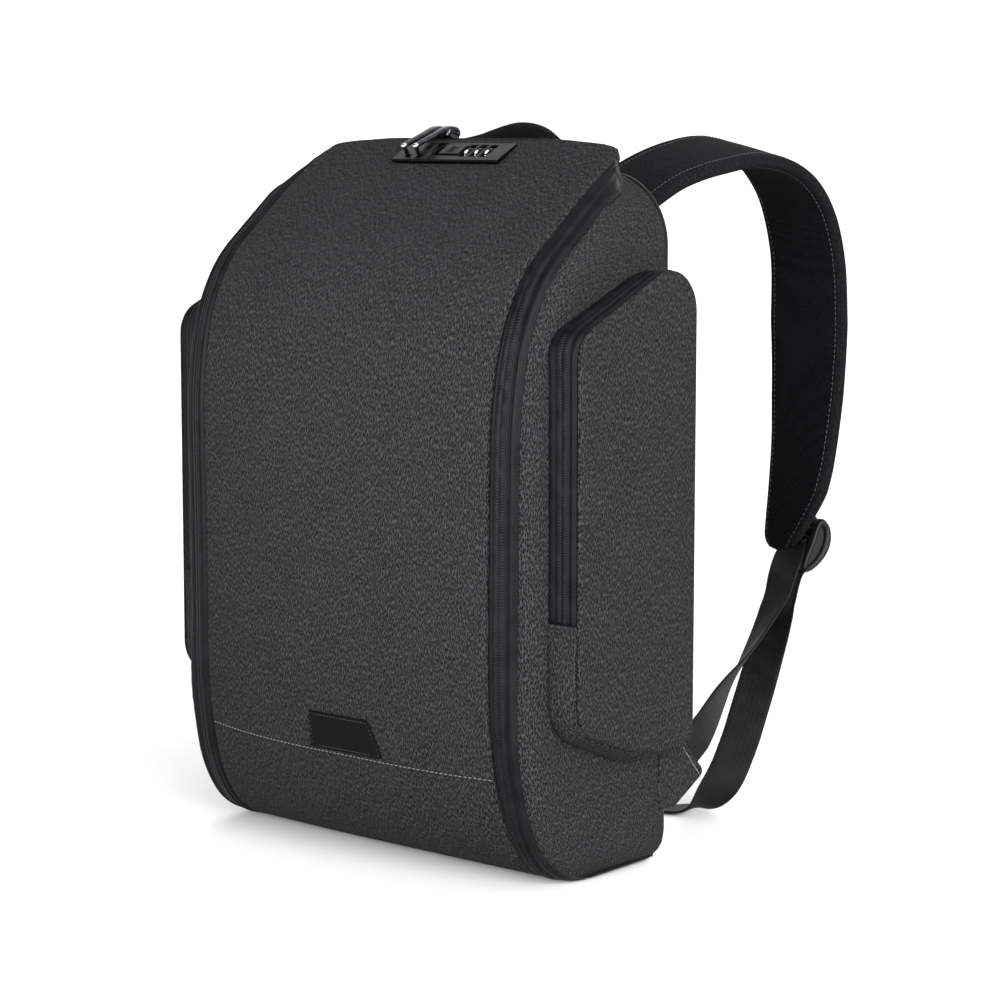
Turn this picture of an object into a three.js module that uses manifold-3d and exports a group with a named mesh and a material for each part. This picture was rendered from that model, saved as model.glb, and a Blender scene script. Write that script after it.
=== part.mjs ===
// A laptop backpack that stands on its flat base: a padded clamshell front with a long zip round it,
// two raised side pockets, a sloping top with a number lock, a grab handle and two shoulder straps.
// Millimetres: X across the bag, Y from its front to its back, Z up. The origin is the base on the floor.
import * as THREE from 'three';
import { mergeVertices } from 'three/addons/utils/BufferGeometryUtils.js';
import loadManifold from 'manifold-3d';

const kernel = await loadManifold();
kernel.setup();

// Clearance between pieces that touch, and the thickness of each cloth wall.
const GAP = 0.3;
const FRONT_WALL = 5;
const ZIP_WALL = 2;
const SIDE_WALL = 3;
const BASE_WALL = 3;
const POCKET_WALL = 2.5;
const BACK_PAD = 8;

// The bag seen from the side: walked from the base seam forward, up the front, over the ridge and
// down to the back. A row with a radius turns through its angle in degrees, a row with a run is straight.
const PROFILE_START = { y: -14.6, z: 0 };
const PROFILE = [
  { radius: 48, turn: 54, steps: 6 },
  { radius: 95, turn: 23, steps: 3 },
  { radius: 330, turn: 13, steps: 2 },
  { run: 134.4, steps: 2 },
  { radius: 265, turn: 12, steps: 2 },
  { radius: 123, turn: 20, steps: 3 },
  { radius: 86, turn: 18.7, steps: 3 },
  { run: 96, steps: 2 },
];
const RIDGE = [
  { radius: 9, turn: 88 },
  { run: 20 },
];

// Half the width of the front panel, and how far its middle swells, along the profile.
const PANEL = [
  { s: 0, half: 124, crown: 0 },
  { s: 25, half: 123.6, crown: 0.8 },
  { s: 60, half: 123, crown: 8 },
  { s: 105, half: 121.5, crown: 11.5 },
  { s: 180, half: 120.7, crown: 10.5 },
  { s: 300, half: 122, crown: 9.5 },
  { s: 390, half: 125, crown: 6.5 },
  { s: 425, half: 127, crown: 3.5 },
  { s: 460, half: 127, crown: 0 },
];
const PANEL_CORNER = 14;
const PANEL_COLUMNS = [-1, -0.93, -0.8, -0.6, -0.35, 0, 0.35, 0.6, 0.8, 0.93, 1];
const CROWN_POWER = 2.4;

// The zip tape round the front panel, and how far its outer seam falls back.
const ZIP_WIDTH = 19;
const ZIP_DROP = 5.5;
const ZIP_COLUMNS = [0, 0.33, 0.67, 1];
const ZIP_TILT = { inner: 8, outer: 40 };
const DROP_POWER = 1.6;
const CORNER_STEPS = 4;

// The back panel's outline, in the plane where the sides end.
const BACK_HALF = 150;
const BACK_FOOT = 0.5;
const BACK_FOOT_RADIUS = 28;
const BACK_TOP_RADIUS = 47;
const BACK_LEAST_RADIUS = 2;
const BACK_FOOT_STEPS = 4;
const BACK_TOP_STEPS = 6;
const BACK_SIDE_STOPS = [120, 240];
// Sections of the back pad from its front to its flat face: how far each is drawn in, and its height.
const BACK_SECTIONS = [
  { inset: 0, share: 0 },
  { inset: 0, share: 0.45 },
  { inset: 4, share: 0.85 },
  { inset: 12, share: 1 },
];

// The side panels: columns from the zip's seam backwards on a full depth, and the tip at the top corner.
const SIDE_ROUNDING = 7;
const SIDE_COLUMNS = [0, 3, 8, 16, 50];
const SIDE_FULL_DEPTH = 126;
const SIDE_LEVEL_TOP = 360;
const SIDE_TIP = 68;
const SIDE_TIP_SHARE = 0.93;
const SIDE_INSIDE_HEIGHT = 200;
const SEARCH_STEPS = 30;
const BASE_SEAM_ANGLE = 40;
const BASE_COLUMNS = [-1, -0.7, -0.35, 0, 0, 0.35, 0.7, 1];
const BASE_ROWS = [0, 0.5, 1];

// The corners of a side pocket: where it is sewn to the bag, and its outer face.
const POCKET_REAR = 52;
const POCKET_SEWN = [
  { y: -57.5, z: 96, radius: 26 },
  { y: -57.5, z: 332, radius: 26 },
  { y: POCKET_REAR, z: 370, radius: 20 },
  { y: POCKET_REAR, z: 64, radius: 8 },
  { y: -5, z: 72, radius: 120 },
];
const POCKET_FACE = [
  { y: -52, z: 97, radius: 20 },
  { y: -52, z: 330, radius: 22 },
  { y: POCKET_REAR, z: 368, radius: 20 },
  { y: POCKET_REAR, z: 77, radius: 8 },
  { y: -5, z: 82, radius: 120 },
];
const POCKET_ARC_STEPS = 4;
const POCKET_OUT = 169;
const POCKET_CROWN = 2.5;
const POCKET_ZIP_STOPS = [162, 205, 248, 285];
const POCKET_MIDDLE = { y: 0, z: 220 };
const POCKET_DEPTHS = [0, 0.5, 1];
// Rings of the pocket's face from its edge to its middle: the share of its outline and of its swell.
const POCKET_RINGS = [
  { outline: 1, swell: 0 },
  { outline: 0.85, swell: 0.7 },
  { outline: 0.55, swell: 1 },
];

// The number lock on the sloping top, in the lock's own frame: x across, y up the slope, z out.
const LOCK = { width: 90, height: 22, flange: 2.6, below: 13, setback: 14 };
const LOCK_BODY = { width: 82, height: 17 };
const LOCK_JOIN = 1;
const CUT_PAST = 0.01;
const DIAL = { radius: 6.5, width: 5, axis: -2.6, bore: 1.6, pin: 1.2, notches: 10, notch: 0.5 };
const ROUND_SIDES = 8;
const DIAL_PLACES = [12, 20.5, 29];
const DIAL_UP = 1;
const BUTTON = { width: 18, height: 11, deep: 3, proud: 0.9, middle: -1, travel: 4 };
const PULL = { width: 5.6, thick: 2, pin: 2.6, back: -6.5, rise: 10.6, sunk: 4 };
const PULL_STEPS = 12;
const PULL_PLACES = [-33.5, -23.5];
const PULL_ROUTE = [
  { y: 53.6, z: 443.2 },
  { y: 51.5, z: 446.6 },
  { y: 46, z: 447.8 },
  { y: 34, z: 444 },
];
const SLIDER = { width: 7.5, length: 10, thick: 2.6, lift: 0.6 };

// The label patch low on the front: its lower edge is wider, cut at a slant on one side.
const LABEL = { left: -21, right: 42, slant: 10, low: 101.5, high: 122.5, thick: 1.4 };
const LABEL_COLUMNS = [0, 0.25, 0.5, 0.75, 1];
const LABEL_ROWS = [0, 0.5, 1];

// How much of half its thickness is cut from the corners of a padded band's section, and of a zip pull's.
const PADDED_CUT = 0.6;
const PULL_CUT = 0.5;

// The grab handle: a flat band sewn to the back panel at both ends, with its width along "across".
const HANDLE_WIDTH = 24;
const HANDLE_THICK = 5;
const HANDLE_ROUTE = [
  { x: -54, rise: 404, out: 2.8, across: [1, 0, 0] },
  { x: -53, rise: 420, out: 3.4, across: [1, 0, 0] },
  { x: -46, rise: 434, out: 12, across: [0.7, 0.7, -0.1] },
  { x: -28, rise: 443.5, out: 20, across: [0.2, 1, 0] },
  { x: 4, rise: 447.4, out: 22, across: [0, 1, 0] },
  { x: 31, rise: 443, out: 20, across: [-0.2, 1, 0] },
  { x: 47, rise: 433, out: 12, across: [-0.7, 0.7, -0.1] },
  { x: 53, rise: 420, out: 3.4, across: [-1, 0, 0] },
  { x: 54, rise: 404, out: 2.8, across: [-1, 0, 0] },
];
const HANDLE_STEPS = 28;

// A shoulder strap from the back panel over its arch and down to its buckle. The arch column says how
// much of the strap's sag each row takes.
const STRAP_THICK = 9;
const STRAP_STEPS = 30;
const STRAP_SAG = { right: 0, left: 16 };
const STRAP_ROUTE = [
  { x: 88, out: 0, z: 394, wide: 60, arch: 0, across: [1, 0, 0] },
  { x: 88, out: 10.6, z: 399, wide: 60, arch: 0.1, across: [1, 0, -0.02] },
  { x: 89, out: 48.6, z: 418, wide: 61, arch: 0.6, across: [1, 0, -0.12] },
  { x: 90, out: 90.6, z: 429, wide: 62, arch: 0.9, across: [1, 0, -0.2] },
  { x: 90, out: 134.6, z: 433, wide: 62, arch: 1, across: [1, 0, -0.23] },
  { x: 90, out: 170.6, z: 424, wide: 62, arch: 0.9, across: [1, 0, -0.2] },
  { x: 90, out: 197.6, z: 402, wide: 62, arch: 0.6, across: [1, -0.05, -0.12] },
  { x: 90, out: 213.6, z: 366, wide: 61, arch: 0.2, across: [1, -0.04, 0] },
  { x: 90, out: 218.6, z: 318, wide: 60, arch: 0, across: [1, 0, 0] },
  { x: 90, out: 217.6, z: 268, wide: 59, arch: 0, across: [1, -0.08, 0] },
  { x: 91, out: 210.6, z: 220, wide: 57, arch: 0, across: [1, -0.3, 0] },
  { x: 92, out: 196.6, z: 176, wide: 53, arch: 0, across: [0.85, -0.53, 0.19] },
];

// The strap's buckle: a flat frame with three bars, placed by its top bar below the strap's end.
const BUCKLE = { width: 36, height: 27, thick: 4.5, corner: 5, side: 4 };
const BUCKLE_BARS = [{ from: 0, to: 5 }, { from: 14.5, to: 18.5 }, { from: 23, to: 27 }];
const BUCKLE_SHIFT = 7;
const BUCKLE_DROP = 6;
const BUCKLE_DOWN = [0.02, -0.3, -0.95];
const BUCKLE_ARC_STEPS = 3;

// The webbing: sewn to a tab low on the bag's side, up through the buckle, and down to a free tail.
const WEB_WIDTH = 25;
const WEB_THICK = 1.8;
const WEB_RISE = [
  { at: [149, 76, 66], across: [0, -0.6, 0.8] },
  { at: [148.6, 90, 75], across: [0, -0.6, 0.8] },
  { at: [140, 122, 94], across: [0.1, -0.6, 0.8] },
  { at: [127, 163, 116], across: [0.5, -0.65, 0.55] },
  { at: [110, 213, 140], across: [0.82, -0.53, 0.2] },
];
const WEB_TAIL = [
  { at: [104, 234, 125], across: [0.97, -0.2, 0] },
  { at: [105, 215, 101], across: [0.86, 0.4, 0] },
  { at: [105, 200, 73], across: [0.78, 0.62, 0] },
  { at: [103, 187, 43], across: [0.74, 0.67, 0] },
  { at: [98, 176, 20], across: [0.66, 0.75, 0.1] },
  { at: [86, 167, 5.5], across: [0.4, 0.9, 0.15] },
  { at: [68, 161, 1.5], across: [0.1, 1, 0.02] },
  { at: [45, 158, 1.2], across: [0, 1, 0] },
  { at: [15, 157, 1.2], across: [0, 1, 0] },
];
const WEB_STEPS = 84;
const WRAP_ANGLES = [-90, -45, 0, 45, 90];
const WEB_WRAP = 4.4;
const WEB_LEAVING = { down: 11, out: 0.5 };
const LOOP_WIDTH = 24;
const LOOP_THICK = 1.6;
const LOOP_WRAP = 4.5;
const LOOP_STEPS = 24;

// The cloth tab that the webbing is sewn to, in the plane of the bag's side.
const TAB_THICK = 2.5;
const TAB_CORNERS = [[53, 34], [53, 81], [71, 73], [91, 51], [62, 34]];

const COLOURS = {
  cloth: { color: 0x39393d, roughness: 0.92 },
  strapCloth: { color: 0x2f2f33, roughness: 0.92 },
  coatedTape: { color: 0x121214, roughness: 0.5 },
  baseCloth: { color: 0x17171a, roughness: 0.8 },
  webbing: { color: 0x141416, roughness: 0.75 },
  lockPlastic: { color: 0x0b0b0d, roughness: 0.25 },
  bucklePlastic: { color: 0x121214, roughness: 0.45 },
  gunmetal: { color: 0x4a4b4f, roughness: 0.35, metalness: 1 },
  label: { color: 0x141417, roughness: 0.85 },
};

const radians = THREE.MathUtils.degToRad;
const vector = (x, y, z) => new THREE.Vector3(x, y, z);
const legLength = (leg) => leg.run ?? leg.radius * radians(leg.turn);
const PANEL_LENGTH = PROFILE.reduce((sum, leg) => sum + legLength(leg), 0);
const SLOPE = radians(PROFILE.reduce((sum, leg) => sum + (leg.turn ?? 0), 0));

// The point and heading at distance s along the profile; heading 0 goes forward and 90 goes up.
function profileAt(s) {
  let { y, z } = PROFILE_START;
  let heading = 0;
  let left = s;
  for (const leg of [...PROFILE, ...RIDGE]) {
    const step = Math.min(left, legLength(leg));
    if (leg.run) {
      y -= Math.cos(heading) * step;
      z += Math.sin(heading) * step;
    } else {
      const turned = heading + step / leg.radius;
      y -= leg.radius * (Math.sin(turned) - Math.sin(heading));
      z += leg.radius * (Math.cos(heading) - Math.cos(turned));
      heading = turned;
    }
    left -= step;
  }
  return { y, z, heading };
}

// The profile's outward direction, and its direction of travel.
const outwardAt = ({ heading }) => vector(0, -Math.sin(heading), -Math.cos(heading));
const onwardAt = ({ heading }) => vector(0, -Math.cos(heading), Math.sin(heading));

// A point of the flat pattern, x across and s along, raised along the outward direction.
function onPattern(x, s, raise) {
  const place = profileAt(s);
  return vector(x, place.y, place.z).addScaledVector(outwardAt(place), raise);
}

// A column of a table at s, in straight lines between its rows.
function fromTable(rows, column, s) {
  const next = rows.findIndex((row) => row.s > s);
  if (next < 0) {
    return rows[rows.length - 1][column];
  }
  const before = rows[Math.max(next - 1, 0)];
  const after = rows[next];
  const share = after.s > before.s ? (s - before.s) / (after.s - before.s) : 0;
  return before[column] + (after[column] - before[column]) * share;
}

// Distances along the profile at which its curve is sampled.
function profileStops() {
  const stops = [0];
  let at = 0;
  for (const leg of PROFILE) {
    for (let step = 1; step <= leg.steps; step += 1) {
      stops.push(at + (legLength(leg) * step) / leg.steps);
    }
    at += legLength(leg);
  }
  return stops;
}

// Rows along the right half of the seam between panel and zip: up the side, then round the corner.
function sideSeamRows() {
  const straight = profileStops().filter((s) => s < PANEL_LENGTH - PANEL_CORNER - 1);
  straight.push(PANEL_LENGTH - PANEL_CORNER);
  return straight.map((s) => ({ x: fromTable(PANEL, 'half', s), s, nx: 1, ns: 0 }));
}

function cornerSeamRow(angle) {
  const nx = Math.cos(radians(angle));
  const ns = Math.sin(radians(angle));
  const half = fromTable(PANEL, 'half', PANEL_LENGTH);
  return {
    x: half - PANEL_CORNER + PANEL_CORNER * nx,
    s: PANEL_LENGTH - PANEL_CORNER + PANEL_CORNER * ns,
    nx,
    ns,
  };
}

function seamRows() {
  const rows = sideSeamRows();
  for (let step = 1; step <= CORNER_STEPS; step += 1) {
    rows.push(cornerSeamRow((90 * step) / CORNER_STEPS));
  }
  return rows;
}

// A point of the zip tape at distance w out from the seam, and the direction through its thickness.
function tapePoint(row, w) {
  const drop = ZIP_DROP * (w / ZIP_WIDTH) ** DROP_POWER * row.nx ** 2;
  return onPattern(row.x + row.nx * w, row.s + row.ns * w, -drop);
}

function leaning(row, s, degrees) {
  const place = profileAt(s);
  const tilt = radians(degrees) * row.nx ** 2;
  const across = vector(row.nx, 0, 0).addScaledVector(onwardAt(place), row.ns);
  return outwardAt(place).multiplyScalar(-Math.cos(tilt)).addScaledVector(across, -Math.sin(tilt));
}

function tapeInward(row, w) {
  const degrees = ZIP_TILT.inner + ((ZIP_TILT.outer - ZIP_TILT.inner) * w) / ZIP_WIDTH;
  return leaning(row, row.s + row.ns * w, degrees);
}

// A closed body from points and triangles, with its faces turned outwards.
function body(points, faces) {
  let volume = 0;
  for (const [a, b, c] of faces) {
    volume += points[a].dot(points[b].clone().cross(points[c]));
  }
  const geometry = new THREE.BufferGeometry();
  const flat = points.flatMap((p) => [p.x, p.y, p.z]);
  geometry.setAttribute('position', new THREE.Float32BufferAttribute(flat, 3));
  geometry.setIndex(faces.flatMap(([a, b, c]) => (volume > 0 ? [a, b, c] : [a, c, b])));
  return geometry;
}

// A wall between an outer and an inner sheet of the same rows and columns, closed round its rims.
function wall(outer, inner) {
  const rows = outer.length;
  const columns = outer[0].length;
  const points = [...outer.flat(), ...inner.flat()];
  const at = (layer, row, column) => layer * rows * columns + row * columns + column;
  const faces = [];
  const quad = (a, b, c, d) => faces.push([a, b, c], [a, c, d]);
  for (let r = 0; r + 1 < rows; r += 1) {
    for (let c = 0; c + 1 < columns; c += 1) {
      quad(at(0, r, c), at(0, r, c + 1), at(0, r + 1, c + 1), at(0, r + 1, c));
      quad(at(1, r, c), at(1, r + 1, c), at(1, r + 1, c + 1), at(1, r, c + 1));
    }
  }
  const rim = [];
  for (let c = 0; c < columns; c += 1) {
    rim.push([0, c]);
  }
  for (let r = 1; r < rows; r += 1) {
    rim.push([r, columns - 1]);
  }
  for (let c = columns - 2; c >= 0; c -= 1) {
    rim.push([rows - 1, c]);
  }
  for (let r = rows - 2; r > 0; r -= 1) {
    rim.push([r, 0]);
  }
  rim.forEach(([r, c], i) => {
    const [nextR, nextC] = rim[(i + 1) % rim.length];
    quad(at(0, nextR, nextC), at(0, r, c), at(1, r, c), at(1, nextR, nextC));
  });
  return body(points, faces);
}

// A closed skin through equal rings of points, with a fan over each end.
function loft(rings) {
  const count = rings[0].length;
  const points = rings.flat();
  const faces = [];
  for (let r = 0; r + 1 < rings.length; r += 1) {
    for (let i = 0; i < count; i += 1) {
      const a = r * count + i;
      const b = r * count + ((i + 1) % count);
      faces.push([a, b, b + count], [a, b + count, a + count]);
    }
  }
  const last = (rings.length - 1) * count;
  for (const [start, turned] of [[0, true], [last, false]]) {
    const middle = points.slice(start, start + count).reduce((sum, p) => sum.add(p), vector(0, 0, 0));
    points.push(middle.divideScalar(count));
    for (let i = 0; i < count; i += 1) {
      const a = start + i;
      const b = start + ((i + 1) % count);
      faces.push(turned ? [points.length - 1, b, a] : [points.length - 1, a, b]);
    }
  }
  return body(points, faces);
}

// The same grid with every point moved by its own direction times a distance.
function offsetGrid(grid, directions, distance) {
  return grid.map((row, r) => row.map((p, c) => p.clone().addScaledVector(directions[r][c], distance)));
}

// Directions square to a grid, from the points beside each one, turned towards a point inside it.
function inwardNormals(grid, inside) {
  const rows = grid.length;
  const columns = grid[0].length;
  return grid.map((row, r) => row.map((p, c) => {
    const along = grid[Math.min(r + 1, rows - 1)][c].clone().sub(grid[Math.max(r - 1, 0)][c]);
    const across = row[Math.min(c + 1, columns - 1)].clone().sub(row[Math.max(c - 1, 0)]);
    const normal = along.cross(across).normalize();
    return normal.dot(inside.clone().sub(p)) < 0 ? normal.negate() : normal;
  }));
}

// Solids for cutting and joining.
function toSolid(geometry) {
  const bare = geometry.clone();
  bare.deleteAttribute('normal');
  bare.deleteAttribute('uv');
  const merged = mergeVertices(bare, 1e-4);
  const vertProperties = new Float32Array(merged.attributes.position.array);
  const triVerts = new Uint32Array(merged.index.array);
  return new kernel.Manifold(new kernel.Mesh({ numProp: 3, vertProperties, triVerts }));
}

function fromSolid(solid) {
  const { vertProperties, triVerts } = solid.getMesh();
  const geometry = new THREE.BufferGeometry();
  geometry.setAttribute('position', new THREE.BufferAttribute(vertProperties, 3));
  geometry.setIndex(new THREE.BufferAttribute(triVerts, 1));
  return geometry;
}

function boxSolid(x, y, z, [px, py, pz]) {
  return toSolid(new THREE.BoxGeometry(x, y, z).translate(px, py, pz));
}

const pack = new THREE.Group();

function add(name, geometry, finish, parent = pack) {
  const mesh = new THREE.Mesh(geometry, new THREE.MeshStandardMaterial(COLOURS[finish]));
  mesh.name = name;
  parent.add(mesh);
  return mesh;
}

// The same points on the other side of the bag.
const mirrored = (p) => vector(-p.x, p.y, p.z);

// The lock's frame: it lies on the slope, a little below the ridge.
const lockSeat = profileAt(PANEL_LENGTH - LOCK.setback);
const lockFrame = new THREE.Matrix4().makeRotationX(Math.PI - SLOPE).setPosition(0, lockSeat.y, lockSeat.z);

// Front panel: the swollen pattern with rounded top corners, and a hole for the lock's body.
function panelCrown(u, s) {
  return fromTable(PANEL, 'crown', s) * (1 - Math.abs(u) ** CROWN_POWER);
}

function frontPanel() {
  const rows = seamRows();
  rows[0].s = GAP / 2;
  const outer = rows.map((row) => PANEL_COLUMNS.map((u) => (
    onPattern(u * (row.x - GAP / 2), row.s - (row.ns * GAP) / 2, panelCrown(u, row.s))
  )));
  const inward = rows.map((row) => PANEL_COLUMNS.map((u) => {
    const direction = leaning(row, row.s, ZIP_TILT.inner * Math.abs(u));
    return u < 0 ? mirrored(direction) : direction;
  }));
  const padded = toSolid(wall(outer, offsetGrid(outer, inward, FRONT_WALL)));
  const through = 4 * FRONT_WALL;
  const hole = boxSolid(LOCK_BODY.width + 2 * GAP, LOCK_BODY.height + 2 * GAP, through, [0, 0, 0]);
  return fromSolid(padded.subtract(hole.transform(lockFrame.elements)));
}

// Main zip: one tape up the right side, over the top and down the left.
function mainZip() {
  const right = seamRows();
  right[0].s = GAP / 2;
  const places = ZIP_COLUMNS.map((share) => GAP / 2 + share * (ZIP_WIDTH - GAP));
  const rightTape = right.map((row) => places.map((w) => tapePoint(row, w)));
  const rightInward = right.map((row) => places.map((w) => tapeInward(row, w)));
  const flip = (grid) => grid.map((row) => row.map(mirrored)).reverse();
  const tape = [...rightTape, ...flip(rightTape)];
  const inward = [...rightInward, ...flip(rightInward)];
  return wall(tape, offsetGrid(tape, inward, ZIP_WALL));
}

// The plane where the sides and the zip end at the back panel, and the outline's height.
const topSeam = profileAt(PANEL_LENGTH + ZIP_WIDTH);
const BACK_Y = topSeam.y + GAP;
const BACK_TOP = topSeam.z;

// A point of the back outline's right half: up the foot corner, the side and the top corner.
function backEdge(z) {
  if (z < BACK_FOOT_RADIUS) {
    const angle = Math.acos(1 - z / BACK_FOOT_RADIUS);
    const x = BACK_HALF - BACK_FOOT_RADIUS * (1 - Math.sin(angle));
    return { x, z, out: vector(Math.sin(angle), 0, -Math.cos(angle)) };
  }
  return { x: BACK_HALF, z, out: vector(1, 0, 0) };
}

function backCorner(angle) {
  const out = vector(Math.cos(angle), 0, Math.sin(angle));
  const x = BACK_HALF - BACK_TOP_RADIUS * (1 - out.x);
  return { x, z: BACK_TOP - BACK_TOP_RADIUS * (1 - out.z), out };
}

const BASE_SEAM_Z = BACK_FOOT_RADIUS * (1 - Math.cos(radians(BASE_SEAM_ANGLE)));

// How far round the bag's front edge a side panel has swung out, at distance d from the zip.
function sideSwing(d, depth) {
  return (1 - Math.exp(-d / SIDE_ROUNDING)) / (1 - Math.exp(-depth / SIDE_ROUNDING));
}

// Where the side panel meets the back: level with the zip, then round the back's top corner.
function sideRearEdge(seam, share) {
  if (share <= 0) {
    return backEdge(Math.max(seam.z, BASE_SEAM_Z));
  }
  const straight = BACK_TOP - BACK_TOP_RADIUS - SIDE_LEVEL_TOP;
  const along = share * (straight + (BACK_TOP_RADIUS * Math.PI) / 2);
  return along < straight
    ? backEdge(SIDE_LEVEL_TOP + along)
    : backCorner((along - straight) / BACK_TOP_RADIUS);
}

// Side panel: from the zip's outer seam round to the back, tapering to a tip at the top corner.
function sidePanel() {
  const rows = sideSeamRows();
  rows[0].s = GAP / 2;
  for (let step = 1; step < CORNER_STEPS; step += 1) {
    rows.push(cornerSeamRow((SIDE_TIP * step) / (CORNER_STEPS - 1)));
  }
  const seams = rows.map((row) => tapePoint(row, ZIP_WIDTH + GAP / 2));
  const run = [0];
  seams.slice(1).forEach((p, i) => run.push(run[i] + p.distanceTo(seams[i])));
  const levelled = seams.findIndex((p) => p.z > SIDE_LEVEL_TOP);
  const whole = run[run.length - 1] - run[levelled - 1];
  const inwardRear = [];
  const outer = seams.map((seam, r) => {
    const share = r < levelled ? 0 : (run[r] - run[levelled - 1]) / whole;
    const rear = sideRearEdge(seam, share * SIDE_TIP_SHARE);
    inwardRear.push(rear.out.clone().negate());
    const end = vector(rear.x, BACK_Y - GAP, rear.z);
    const depth = seam.distanceTo(end);
    const shrink = Math.min(depth / SIDE_FULL_DEPTH, 1);
    const stops = [...SIDE_COLUMNS.map((d) => d * shrink), depth];
    return stops.map((d) => {
      const p = seam.clone().lerp(end, d / depth);
      p.x = seam.x + (end.x - seam.x) * (r > 0 ? sideSwing(d, depth) : d / depth);
      return p;
    });
  });
  const inward = inwardNormals(outer, vector(0, 0, SIDE_INSIDE_HEIGHT));
  const foot = vector(-Math.sin(radians(BASE_SEAM_ANGLE)), 0, Math.cos(radians(BASE_SEAM_ANGLE)));
  inward.forEach((row, r) => {
    row[0] = tapeInward(rows[r], ZIP_WIDTH);
    row[row.length - 1] = inwardRear[r];
  });
  inward[0] = inward[0].map(() => foot.clone());
  const clear = vector(foot.z, 0, -foot.x).multiplyScalar(GAP);
  outer[0].forEach((p) => p.add(clear));
  return [outer, offsetGrid(outer, inward, SIDE_WALL)];
}

// Base panel: flat on the floor, turning up at its two sides to meet the side panels.
function basePanel() {
  const flatFront = PANEL[0].half;
  const front = {
    y: PROFILE_START.y + GAP,
    flat: flatFront,
    edge: flatFront + ZIP_WIDTH,
    rise: ZIP_DROP,
  };
  const rear = {
    y: BACK_Y - GAP,
    flat: BACK_HALF - BACK_FOOT_RADIUS,
    edge: backEdge(BASE_SEAM_Z).x,
    rise: BASE_SEAM_Z,
  };
  const outer = [];
  const inward = [];
  for (const share of BASE_ROWS) {
    const mix = (key) => front[key] + (rear[key] - front[key]) * share;
    outer.push(BASE_COLUMNS.map((u, c) => {
      const side = c < BASE_COLUMNS.length / 2 ? -1 : 1;
      const x = side * (mix('flat') + Math.abs(u) * (mix('edge') - mix('flat')));
      return vector(x, mix('y'), mix('rise') * Math.abs(u) ** DROP_POWER);
    }));
    inward.push(BASE_COLUMNS.map((u) => {
      const tilt = radians(BASE_SEAM_ANGLE) * u;
      return vector(-Math.sin(tilt), 0, Math.cos(tilt));
    }));
  }
  return wall(outer, offsetGrid(outer, inward, BASE_WALL));
}

// A ring of the back outline, drawn in by an inset, at a height y above its front face.
function backRing(inset, y) {
  const half = [];
  const foot = BACK_FOOT_RADIUS - BACK_FOOT;
  const corner = (angle, radius, cz) => {
    const r = Math.max(radius - inset, BACK_LEAST_RADIUS);
    const rest = inset - (radius - r);
    half.push([BACK_HALF - radius - rest + r * Math.cos(angle), cz + r * Math.sin(angle)]);
  };
  for (let i = 0; i <= BACK_FOOT_STEPS; i += 1) {
    corner(radians((90 * i) / BACK_FOOT_STEPS - 90), foot, BACK_FOOT + foot);
  }
  for (const z of BACK_SIDE_STOPS) {
    half.push([BACK_HALF - inset, z]);
  }
  for (let i = 0; i <= BACK_TOP_STEPS; i += 1) {
    corner(radians((90 * i) / BACK_TOP_STEPS), BACK_TOP_RADIUS, BACK_TOP - BACK_TOP_RADIUS);
  }
  const left = half.map(([x, z]) => [-x, z]).reverse();
  return [...half, ...left].map(([x, z]) => vector(x, y, z));
}

const BACK_FACE = BACK_Y + BACK_PAD;

// Back panel: a flat pad whose rear edge is rounded.
function backPanel() {
  return loft(BACK_SECTIONS.map(({ inset, share }) => backRing(inset, BACK_Y + BACK_PAD * share)));
}

// The side panel's distance from the bag's middle at a place on it.
function sideX(y, z) {
  let low = 0;
  let high = PANEL_LENGTH - PANEL_CORNER;
  for (let i = 0; i < SEARCH_STEPS; i += 1) {
    const s = (low + high) / 2;
    const seam = tapePoint({ x: fromTable(PANEL, 'half', s), s, nx: 1, ns: 0 }, ZIP_WIDTH);
    if (seam.z < z) {
      low = s;
    } else {
      high = s;
    }
  }
  const seam = tapePoint({ x: fromTable(PANEL, 'half', low), s: low, nx: 1, ns: 0 }, ZIP_WIDTH);
  return seam.x + (BACK_HALF - seam.x) * sideSwing(Math.max(y - seam.y, 0), BACK_Y - seam.y);
}

// A closed outline with rounded corners in the Y and Z plane: each corner gives the same number of points.
function roundedOutline(corners) {
  return corners.map((corner, i) => {
    const here = new THREE.Vector2(corner.y, corner.z);
    const towards = (other) => new THREE.Vector2(other.y, other.z).sub(here).normalize();
    const back = towards(corners[(i + corners.length - 1) % corners.length]);
    const on = towards(corners[(i + 1) % corners.length]);
    const halfAngle = Math.acos(back.dot(on)) / 2;
    const middle = back.clone().add(on).normalize().multiplyScalar(corner.radius / Math.sin(halfAngle));
    const centre = here.clone().add(middle);
    const start = back.multiplyScalar(corner.radius / Math.tan(halfAngle)).add(here).sub(centre);
    const end = on.multiplyScalar(corner.radius / Math.tan(halfAngle)).add(here).sub(centre);
    const turn = Math.atan2(start.cross(end), start.dot(end));
    const arc = [];
    for (let step = 0; step <= POCKET_ARC_STEPS; step += 1) {
      const spot = start.clone().rotateAround(new THREE.Vector2(), (turn * step) / POCKET_ARC_STEPS);
      arc.push({ at: centre.clone().add(spot), out: spot.clone().normalize() });
    }
    return arc;
  });
}

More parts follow.
